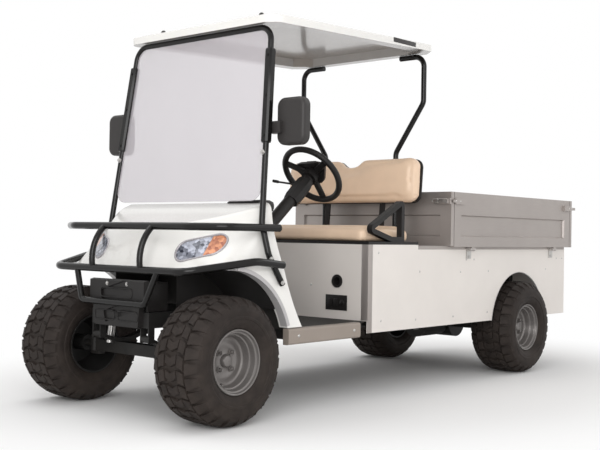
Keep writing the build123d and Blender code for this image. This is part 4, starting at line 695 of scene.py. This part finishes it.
def dress_roof():
    """Ceiling face darkened as painted shade, and fittings of the canopy."""
    mesh = nodes["roof"].data
    mesh.materials.append(roof_underside_shade)
    # faces that look down take the grey material: painted shade under the roof
    for polygon in mesh.polygons:
        if polygon.normal.z < CEILING_TILT:
            polygon.material_index = 1
    fittings = Builder()
    for x, y in ROOF_BOLTS:
        spot, normal = touch("roof", (x, y, 3), (0, 0, -1))
        fittings.rivet(spot, normal, *ROOF_BOLT)
    ends = [touch("roof", (x, 1, z), (0, -1, 0))[0] for x, z in ROOF_INSET]
    fittings.bar(ends[0], ends[1], (0, 0, 1), *ROOF_INSET_SIZE)
    fittings.make("roof_fittings", "chassis", dark_grey)
    dome = Builder()
    spot, _ = touch("roof", (*ROOF_DOME, 3), (0, 0, -1))
    dome.turned(spot, (0, 0, 1), ROOF_DOME_PROFILE, 32)
    dome.make("roof_dome", "chassis", cream)


dress_roof()


# Windscreen channels on the canopy posts, with their clips
POST_FOOT = Vector((1.26825, 0.5317, 0.875))
POST_HEAD = Vector((1.15825, 0.470, 1.7817))
CHANNEL_LOW_Z = 1.24
CHANNEL_TOP_Z = 1.674
CHANNEL_SIZE = (0.040, 0.042)
CHANNEL_BOLTS_Z = (CHANNEL_LOW_Z + 0.03, (CHANNEL_LOW_Z + CHANNEL_TOP_Z) / 2, CHANNEL_TOP_Z - 0.03)
CHANNEL_FRONT = Vector((0.020, 0, 0))
CHANNEL_BOLT = (0.005, 0.005)
CLIP_Z = 1.195
CLIP_AT = Vector((0.013, -0.004, 0))
CLIP = (0.008, 0.012)


def post_at(z, side):
    """Middle of a canopy post at a height."""
    point = POST_FOOT.lerp(POST_HEAD, (z - POST_FOOT.z) / (POST_HEAD.z - POST_FOOT.z))
    return Vector((point.x, side * point.y, point.z))


def make_channels():
    """Sleeves that hold the windscreen's edges."""
    sleeves = Builder()
    clips = Builder()
    for side in (1, -1):
        sleeves.bar(post_at(CHANNEL_LOW_Z, side), post_at(CHANNEL_TOP_Z, side), (1, 0, 0), *CHANNEL_SIZE)
        for z in CHANNEL_BOLTS_Z:
            sleeves.bolt(post_at(z, side) + CHANNEL_FRONT, (1, 0, 0), *CHANNEL_BOLT)
        clips.bolt(post_at(CLIP_Z, side) + CLIP_AT * Vector((1, side, 1)), (1, 0, 0), *CLIP)
    sleeves.make("screen_channels", "chassis", black_coat)
    clips.make("screen_clips", "chassis", steel)


make_channels()


# Steering wheel: round grip, spoke covers and a hub pad over the CAD wheel; shroud and lever on the column
WHEEL_AT = Vector((0.63425, 0.28, 1.133))
WHEEL_AXIS = Vector((-0.766044, 0, 0.642788))
WHEEL_LEFT = Vector((0, 1, 0))
WHEEL_UP = WHEEL_LEFT.cross(WHEEL_AXIS)
GRIP_RING_R = 0.159
GRIP_R = 0.0158
GRIP_STEPS = 56
GRIP_SIDES = 14
SPOKES = (-90, 30, 150)
SPOKE_FROM = 0.03
SPOKE_TO = 0.15
SPOKE_SIZE = (0.034, 0.014)
# Outline of the hub pad on its left half, from the top: left, up
PAD_HALF = ((0.056, 0.066), (0.086, 0.058), (0.096, 0.030), (0.054, -0.044), (0.030, -0.058))
# Levels of the hub pad: along the axis, scale
PAD_LEVELS = ((0.006, 1.0), (0.026, 0.97), (0.032, 0.90), (0.034, 0.72))
# Bars and the lever in the wheel's own directions: left, up, out
PAD_BAR = ((-0.032, 0.042, 0.036), (0.032, 0.042, 0.036))
PAD_BAR_SIZE = (0.030, 0.016)
SHROUD = ((0, 0, -0.062), (0, -0.004, -0.215))
SHROUD_SIZE = (0.086, 0.078)
LEVER = ((-0.03, 0, -0.085), (-0.12, 0.012, -0.080), (-0.175, 0.020, -0.078))
LEVER_R = 0.005
LEVER_KNOB = ((-0.165, 0.0185, -0.078), (-0.200, 0.024, -0.076))
LEVER_KNOB_SIZE = (0.016, 0.014)
ROUND_EASE = 0.3
POD_LOW = (1.082, 0.215, 0.925)
POD_HIGH = (1.190, 0.445, 0.984)
POD_EDGE_R = 0.022


def on_wheel(left, up, out):
    """Point in the steering wheel's own directions."""
    return WHEEL_AT + WHEEL_LEFT * left + WHEEL_UP * up + WHEEL_AXIS * out


def make_steering():
    """Grip, spokes and pad that turn with the wheel, and the fixed shroud."""
    grip = Builder()
    rings = []
    for i in range(GRIP_STEPS):
        a = 2 * math.pi * i / GRIP_STEPS
        ring = []
        for k in range(GRIP_SIDES):
            b = 2 * math.pi * k / GRIP_SIDES
            radius = GRIP_RING_R + GRIP_R * math.cos(b)
            ring.append(on_wheel(radius * math.cos(a), radius * math.sin(a), GRIP_R * math.sin(b)))
        rings.append(ring)
    grip.rings(rings, closed=True)
    for angle in SPOKES:
        a = math.radians(angle)
        left, up = math.cos(a), math.sin(a)
        hub_end = on_wheel(left * SPOKE_FROM, up * SPOKE_FROM, 0.004)
        grip_end = on_wheel(left * SPOKE_TO, up * SPOKE_TO, 0.002)
        grip.bar(hub_end, grip_end, WHEEL_LEFT * -up + WHEEL_UP * left, *SPOKE_SIZE)
    outline = list(PAD_HALF) + [(-left, up) for left, up in reversed(PAD_HALF)]
    levels = []
    for out, scale in PAD_LEVELS:
        levels.append([on_wheel(left * scale, up * scale, out) for left, up in outline])
    grip.rings(levels)
    grip.bar(*[on_wheel(*point) for point in PAD_BAR], WHEEL_UP, *PAD_BAR_SIZE)
    grip.make("steering_grip", "steering_wheel", moulded_black)
    shroud = Builder()
    shroud.bar(*[on_wheel(*point) for point in SHROUD], WHEEL_LEFT, *SHROUD_SIZE, ROUND_EASE)
    shroud.tube([on_wheel(*point) for point in LEVER], LEVER_R)
    shroud.bar(*[on_wheel(*point) for point in LEVER_KNOB], WHEEL_UP, *LEVER_KNOB_SIZE, ROUND_EASE)
    shroud.make("column_shroud", "chassis", moulded_black)
    pod = Builder()
    pod.box(POD_LOW, POD_HIGH, POD_EDGE_R)
    pod.make("instrument_pod", "chassis", moulded_black)


make_steering()


# Headlamps: a bezel round each lens, laid on the cowl's skin
LAMP_Y = 0.352
LAMP_Z = 0.761
LAMP_STRAIGHT = 0.0605
LAMP_END_R = 0.046
LAMP_TILT = math.radians(14)
BEZEL_STEPS = 24
BEZEL_R = 0.0055


def make_bezels():
    """Silver rim round the lamps."""
    build = Builder()
    for side in (1, -1):
        path = []
        for end in (1, -1):
            for i in range(BEZEL_STEPS):
                a = math.pi * (i / (BEZEL_STEPS - 1) - 0.5) + (0 if end > 0 else math.pi)
                along = end * LAMP_STRAIGHT + LAMP_END_R * math.cos(a)
                rise = LAMP_END_R * math.sin(a)
                y = along * math.cos(LAMP_TILT) - rise * math.sin(LAMP_TILT)
                z = along * math.sin(LAMP_TILT) + rise * math.cos(LAMP_TILT)
                path.append(touch("cowl", (3, side * (LAMP_Y + y), LAMP_Z + z), (-1, 0, 0))[0])
        build.tube(path, BEZEL_R, 10, closed=True)
    build.make("lamp_bezels", "chassis", bezel_grey, 60.0)


make_bezels()


# Mirrors: the glass on the rear of each head
MIRROR_LOW = (1.1296, 0.546, 1.250)
MIRROR_HIGH = (1.1326, 0.672, 1.426)

glass = Builder()
glass.box_pair(MIRROR_LOW, MIRROR_HIGH, 0.0012)
glass.make("mirror_glass", "chassis", mirror_glass)


# Grey strips on the lips of the front and rear wheel arches: painted shade laid over the cream lips and the
# front lips' outer edge
# Each strip: degrees from and to, counted from the top toward the rear, then its inner and outer Y
FRONT_SHADE_SPAN = (-2, 71, 0.513, 0.5515)
FRONT_FLANGE = (6, 71, 0.548, 0.5545)
REAR_SHADE_SPAN = (-82, 82, 0.532, 0.5435)
SHADE_STRIP_T = 0.0015
SHADE_STRIP_CLEAR = 0.0003
FLANGE_W = 0.016
ARCH_STEPS = 40


def arch_strip(build, centre_x, centre_z, radius, thick, shade_span, side):
    """Curved strip on an arch, inward from a radius."""
    first, last, low_y, high_y = shade_span
    rings = []
    for i in range(ARCH_STEPS + 1):
        a = math.radians(first + (last - first) * i / ARCH_STEPS)
        ring = []
        for r, y in ((radius, low_y), (radius, high_y), (radius - thick, high_y), (radius - thick, low_y)):
            ring.append((centre_x - r * math.sin(a), side * y, centre_z + r * math.cos(a)))
        rings.append(ring)
    build.rings(rings)


# grey strips on the arch lips as painted shade
shade_strips = Builder()
for side in (1, -1):
    arch_strip(shade_strips, FRONT_X, WHEEL_Z, ARCH_R - SHADE_STRIP_CLEAR, SHADE_STRIP_T, FRONT_SHADE_SPAN, side)
    arch_strip(shade_strips, FRONT_X, WHEEL_Z, ARCH_R + FLANGE_W, FLANGE_W + SHADE_STRIP_T, FRONT_FLANGE, side)
shade_strips.make("front_arch_painted_shade", "chassis", arch_lip_painted_shade)
shade_strips = Builder()
for side in (1, -1):
    arch_strip(shade_strips, REAR_X, REAR_ARCH_Z, REAR_ARCH_R, SHADE_STRIP_T, REAR_SHADE_SPAN, side)
shade_strips.make("rear_arch_painted_shade", "chassis", arch_lip_painted_shade)


# Fasteners: rivets on the panels, bolts on the sills, riser, hinges and bumper cover
PANEL_RIVETS = (
    (0.405, 0.740), (0.031, 0.638), (-0.381, 0.630), (-0.690, 0.630), (-1.410, 0.631),
    (-0.441, 0.699), (-0.525, 0.699), (-1.560, 0.699), (-1.642, 0.699),
    (0.378, 0.391), (0.064, 0.382), (-0.307, 0.380), (-0.681, 0.387), (-1.417, 0.382),
)
SILL_BOLTS = (1.031, 0.615)
SILL_BOLT_Z = 0.359
LEG_BOLTS = ((1.2535, 0.717), (1.1765, 0.609))
HINGE_X = (-1.46875, -0.45975)
HINGE_Y = (0.370, -0.370)
HINGE_BOLT_Z = 0.716
RISER_RIVETS = ((0.165, 0.565), (-0.165, 0.565))
COVER_BOLTS = ((0.065, 0.592), (-0.065, 0.592))
# Radius and height of each kind
PANEL_RIVET = (0.0062, 0.003)
SILL_BOLT = (0.0075, 0.004)
LEG_BOLT = (0.0065, 0.006)
HINGE_BOLT = (0.0055, 0.005)
RISER_RIVET = (0.0065, 0.003)
GATE_RIVET = (0.005, 0.003)

fasteners = Builder()
for side in (1, -1):
    for x, z in PANEL_RIVETS:
        fasteners.rivet((x, side * BODY_Y, z), (0, side, 0), *PANEL_RIVET)
    for x in SILL_BOLTS:
        spot, normal = touch("sills", (x, side, SILL_BOLT_Z), (0, -side, 0))
        fasteners.rivet(spot, normal, *SILL_BOLT)
    for x, z in LEG_BOLTS:
        spot, normal = touch("front_hoop", (x, side, z), (0, -side, 0))
        fasteners.bolt(spot, normal, *LEG_BOLT)
    for x in HINGE_X:
        spot, normal = touch("hinge_brackets", (x, side, HINGE_BOLT_Z), (0, -side, 0))
        fasteners.bolt(spot, normal, *HINGE_BOLT)
for y in HINGE_Y:
    spot, normal = touch("hinge_brackets", (-3, y, HINGE_BOLT_Z), (1, 0, 0))
    fasteners.bolt(spot, normal, *HINGE_BOLT)
for y, z in RISER_RIVETS:
    fasteners.rivet((RISER_X, y, z), (1, 0, 0), *RISER_RIVET)
for y, z in COVER_BOLTS:
    spot, normal = touch("bumper_cover", (3, y, z), (-1, 0, 0))
    fasteners.bolt(spot, normal, *LEG_BOLT)
fasteners.make("fasteners", "chassis", steel, 50.0)


# Corner strips beside the seat riser
STRIP_FRONT = RISER_X + 0.003
STRIP_REAR = RISER_X - 0.034

strips = Builder()
strips.box_pair((RISER_X, 0.500, 0.398), (STRIP_FRONT, BODY_Y + 0.0005, DECK_Z), 0.0008)
strips.box_pair((STRIP_REAR, BODY_Y, PANEL_LOW_Z), (STRIP_FRONT, BODY_Y + 0.0018, DECK_Z), 0.0006)
strips.make("corner_strips", "chassis", aluminium)


# Switch plate on the riser: a frame, two rockers and a turn switch
PLATE_LOW = (RISER_X, 0.268, 0.440)
PLATE_HIGH = (RISER_X + 0.004, 0.409, 0.519)
ROCKERS_Y = (0.300, 0.338)
ROCKER_HALF = 0.013
TURN_SWITCH_AT = (RISER_X + 0.003, 0.380, 0.480)
TURN_SWITCH = ((0, 0.015), (0.006, 0.0145), (0.008, 0.012))

plate = Builder()
plate.box(PLATE_LOW, PLATE_HIGH, 0.0015)
for y in ROCKERS_Y:
    plate.box((RISER_X + 0.003, y - ROCKER_HALF, 0.460), (RISER_X + 0.010, y + ROCKER_HALF, 0.500), 0.003)
plate.turned(TURN_SWITCH_AT, (1, 0, 0), TURN_SWITCH, 24)
plate.bar((RISER_X + 0.012, 0.371, 0.472), (RISER_X + 0.012, 0.389, 0.488), (1, 0, 0), 0.010, 0.006)
plate.make("switch_plate", "chassis", moulded_black)


# Bumper cover: moulded frames on its face and flanks that run back along the rails
# Frames on the cover's face: Y from, Y to, Z from, Z to
COVER_FRAMES = ((-0.150, -0.012, 0.428, 0.470), (0.012, 0.150, 0.428, 0.470), (-0.110, 0.110, 0.530, 0.572))
FRAME_CORNER_R = 0.012
FRAME_TUBE_R = 0.0035
FLANK_REAR = 1.515
FLANK_FRONT = 1.634
FLANK_Y = 0.193


def rounded_loop(x, low_y, high_y, low_z, high_z, radius):
    """Rectangle with round corners on a plane across the vehicle."""
    points = []
    corners = ((high_y, high_z, 0), (low_y, high_z, 90), (low_y, low_z, 180), (high_y, low_z, 270))
    for y, z, turn in corners:
        centre_y = y - math.copysign(radius, y - (low_y + high_y) / 2)
        centre_z = z - math.copysign(radius, z - (low_z + high_z) / 2)
        for k in range(5):
            a = math.radians(turn + 22.5 * k)
            points.append((x, centre_y + radius * math.cos(a), centre_z + radius * math.sin(a)))
    return points


cover = Builder()
for low_y, high_y, low_z, high_z in COVER_FRAMES:
    corners = [(3, y, z) for y in (low_y, high_y) for z in (low_z, high_z)]
    front = max(touch("bumper_cover", corner, (-1, 0, 0))[0].x for corner in corners)
    loop = rounded_loop(front, low_y, high_y, low_z, high_z, FRAME_CORNER_R)
    cover.tube(loop, FRAME_TUBE_R, 8, closed=True)
cover.box_pair((FLANK_REAR, 0.186, 0.474), (FLANK_FRONT, FLANK_Y, 0.602), 0.002)
cover.box((FLANK_REAR, -FLANK_Y, 0.597), (FLANK_FRONT, FLANK_Y, 0.604), 0.002)
cover.make("cover_details", "chassis", moulded_black)


# Front dampers between the axle beam and the frame
DAMPER_BODY = ((0, 0.018), (0.08, 0.018), (0.084, 0.014), (0.085, 0.008))
DAMPER_ROD_R = 0.008
DAMPER_FOOT = Vector((FRONT_X + 0.036, 0.215, 0.300))
DAMPER_HEAD = Vector((FRONT_X + 0.020, 0.208, 0.462))

dampers = Builder()
for side in (1, -1):
    mirror = Vector((1, side, 1))
    foot = DAMPER_FOOT * mirror
    reach = DAMPER_HEAD * mirror - foot
    dampers.turned(foot, reach, DAMPER_BODY + ((reach.length, DAMPER_ROD_R),), 20)
dampers.make("front_dampers", "chassis", steel)


# Latch levers on the front board's ends and rivets on the gates' straps
LATCH_X = -0.2010
LATCH_Z = 1.028
LATCH_SIZE = (0.026, 0.006)
LOOP_X = -0.198
LOOP = ((0.50, 0.008), (0.47, 0.010), (0.462, 0), (0.47, -0.010), (0.50, -0.008))
LOOP_R = 0.003
GATE_RIVETS_X = (-0.255, -0.300, -1.640, -1.690)

levers = Builder()
for side in (1, -1):
    levers.bar((LATCH_X, side * 0.488, LATCH_Z), (LATCH_X, side * 0.562, LATCH_Z), (0, 0, 1), *LATCH_SIZE)
    levers.tube([(LOOP_X, side * y, LATCH_Z + z) for y, z in LOOP], LOOP_R)
levers.make("latch_levers", "chassis", steel)
for gate, side in (("gate_left", 1), ("gate_right", -1)):
    rivets = Builder()
    for x in GATE_RIVETS_X:
        spot, normal = touch(gate, (x, side, LATCH_Z), (0, -side, 0))
        rivets.rivet(spot, normal, *GATE_RIVET)
    rivets.make(f"{gate}_rivets", gate, steel)


# Camera at the photograph's viewpoint, for a frame 600 wide
CAMERA_AT = (4.49705, 3.5627, 0.824)
YAW = -2.4261
PITCH_UP = 0.0102
ROLL = 0.0163
FOCAL_PIXELS = 993.43
FRAME_WIDTH = 600
SENSOR_WIDTH = 36.0

forward = Vector((math.cos(YAW) * math.cos(PITCH_UP), math.sin(YAW) * math.cos(PITCH_UP), math.sin(PITCH_UP)))
level = Vector((math.sin(YAW), -math.cos(YAW), 0))
upright = level.cross(forward)
right = level * math.cos(ROLL) + upright * math.sin(ROLL)
upward = upright * math.cos(ROLL) - level * math.sin(ROLL)
lens = bpy.data.cameras.new("camera")
lens.sensor_width = SENSOR_WIDTH
lens.sensor_fit = "HORIZONTAL"
lens.lens = FOCAL_PIXELS / FRAME_WIDTH * SENSOR_WIDTH
camera = bpy.data.objects.new("camera", lens)
bpy.context.scene.collection.objects.link(camera)
camera.matrix_world = Matrix.Translation(CAMERA_AT) @ Matrix((right, upward, -forward)).transposed().to_4x4()
bpy.context.scene.camera = camera


# Studio: white surround, pale floor and soft lamps
WORLD_LIGHT = 0.55
FLOOR_SIZE = 60.0
FLOOR_COLOUR = (0.93, 0.925, 0.92, 1)
FLOOR_ROUGHNESS = 0.9
FLOOR_PLAIN = 1.75
FLOOR_WHITE = 3.3
FLOOR_STRETCH = (1, 1.45, 1)


def seen_directly(tree):
    """1 for rays that show the background itself: camera, mirror-like and transmitted."""
    path = tree.nodes.new("ShaderNodeLightPath")
    first = tree.nodes.new("ShaderNodeMath")
    first.operation = "MAXIMUM"
    second = tree.nodes.new("ShaderNodeMath")
    second.operation = "MAXIMUM"
    tree.links.new(path.outputs["Is Camera Ray"], first.inputs[0])
    tree.links.new(path.outputs["Is Glossy Ray"], first.inputs[1])
    tree.links.new(first.outputs["Value"], second.inputs[0])
    tree.links.new(path.outputs["Is Transmission Ray"], second.inputs[1])
    return second.outputs["Value"]


def make_world():
    """White to the eye, softer as a light."""
    world = bpy.data.worlds.new("studio")
    bpy.context.scene.world = world
    world.use_nodes = True
    tree = world.node_tree
    backdrop = tree.nodes["Background"]
    backdrop.inputs["Color"].default_value = (1, 1, 1, 1)
    backdrop.inputs["Strength"].default_value = WORLD_LIGHT
    shown = tree.nodes.new("ShaderNodeBackground")
    shown.inputs["Color"].default_value = (1, 1, 1, 1)
    shown.inputs["Strength"].default_value = 1.0
    mix = tree.nodes.new("ShaderNodeMixShader")
    tree.links.new(seen_directly(tree), mix.inputs["Fac"])
    tree.links.new(backdrop.outputs["Background"], mix.inputs[1])
    tree.links.new(shown.outputs["Background"], mix.inputs[2])
    tree.links.new(mix.outputs["Shader"], tree.nodes["World Output"].inputs["Surface"])


def make_floor():
    """Pale floor that keeps the shadow near the vehicle and turns white away from it."""
    bpy.ops.mesh.primitive_plane_add(size=FLOOR_SIZE, location=(0, 0, 0))
    floor = bpy.context.object
    floor.name = "studio_floor"
    mat = bpy.data.materials.new("studio_floor")
    mat.use_nodes = True
    tree = mat.node_tree
    shader = tree.nodes["Principled BSDF"]
    shader.inputs["Base Color"].default_value = FLOOR_COLOUR
    shader.inputs["Roughness"].default_value = FLOOR_ROUGHNESS
    shader.inputs["Specular IOR Level"].default_value = 0.0
    white = tree.nodes.new("ShaderNodeEmission")
    coords = tree.nodes.new("ShaderNodeTexCoord")
    length = tree.nodes.new("ShaderNodeVectorMath")
    length.operation = "LENGTH"
    fade = tree.nodes.new("ShaderNodeMapRange")
    fade.interpolation_type = "SMOOTHSTEP"
    fade.inputs["From Min"].default_value = FLOOR_PLAIN
    fade.inputs["From Max"].default_value = FLOOR_WHITE
    shown = tree.nodes.new("ShaderNodeMath")
    shown.operation = "MULTIPLY"
    mix = tree.nodes.new("ShaderNodeMixShader")
    stretch = tree.nodes.new("ShaderNodeMapping")
    stretch.inputs["Scale"].default_value = FLOOR_STRETCH
    tree.links.new(coords.outputs["Object"], stretch.inputs["Vector"])
    tree.links.new(stretch.outputs["Vector"], length.inputs[0])
    tree.links.new(length.outputs["Value"], fade.inputs["Value"])
    tree.links.new(fade.outputs["Result"], shown.inputs[0])
    tree.links.new(seen_directly(tree), shown.inputs[1])
    tree.links.new(shown.outputs["Value"], mix.inputs["Fac"])
    tree.links.new(shader.outputs["BSDF"], mix.inputs[1])
    tree.links.new(white.outputs["Emission"], mix.inputs[2])
    tree.links.new(mix.outputs["Shader"], tree.nodes["Material Output"].inputs["Surface"])
    floor.data.materials.append(mat)


# Lamps: name, place, target, size, watts
LAMPS = (
    ("top", (1.6, -1.6, 5.8), (0.1, 0.0, 0.3), 5.0, 112.0),
    ("front", (5.2, 3.7, 2.2), (0.5, 0.0, 0.8), 4.0, 195.0),
    ("side", (-1.6, 6.0, 3.0), (-0.6, 0.3, 0.7), 4.0, 40.0),
    ("back", (-5.2, 1.8, 4.0), (-0.6, 0.0, 0.8), 3.5, 50.0),
)


def make_lamps():
    """Large soft lamps round the vehicle."""
    for name, place, target, size, watts in LAMPS:
        data = bpy.data.lights.new(name, "AREA")
        data.shape = "SQUARE"
        data.size = size
        data.energy = watts
        lamp = bpy.data.objects.new(name, data)
        bpy.context.scene.collection.objects.link(lamp)
        aim = Vector(target) - Vector(place)
        lamp.matrix_world = Matrix.Translation(place) @ aim.to_track_quat("-Z", "Y").to_matrix().to_4x4()


make_world()
make_floor()
make_lamps()
bpy.context.scene.view_settings.view_transform = "Standard"

bpy.context.view_layer.update()
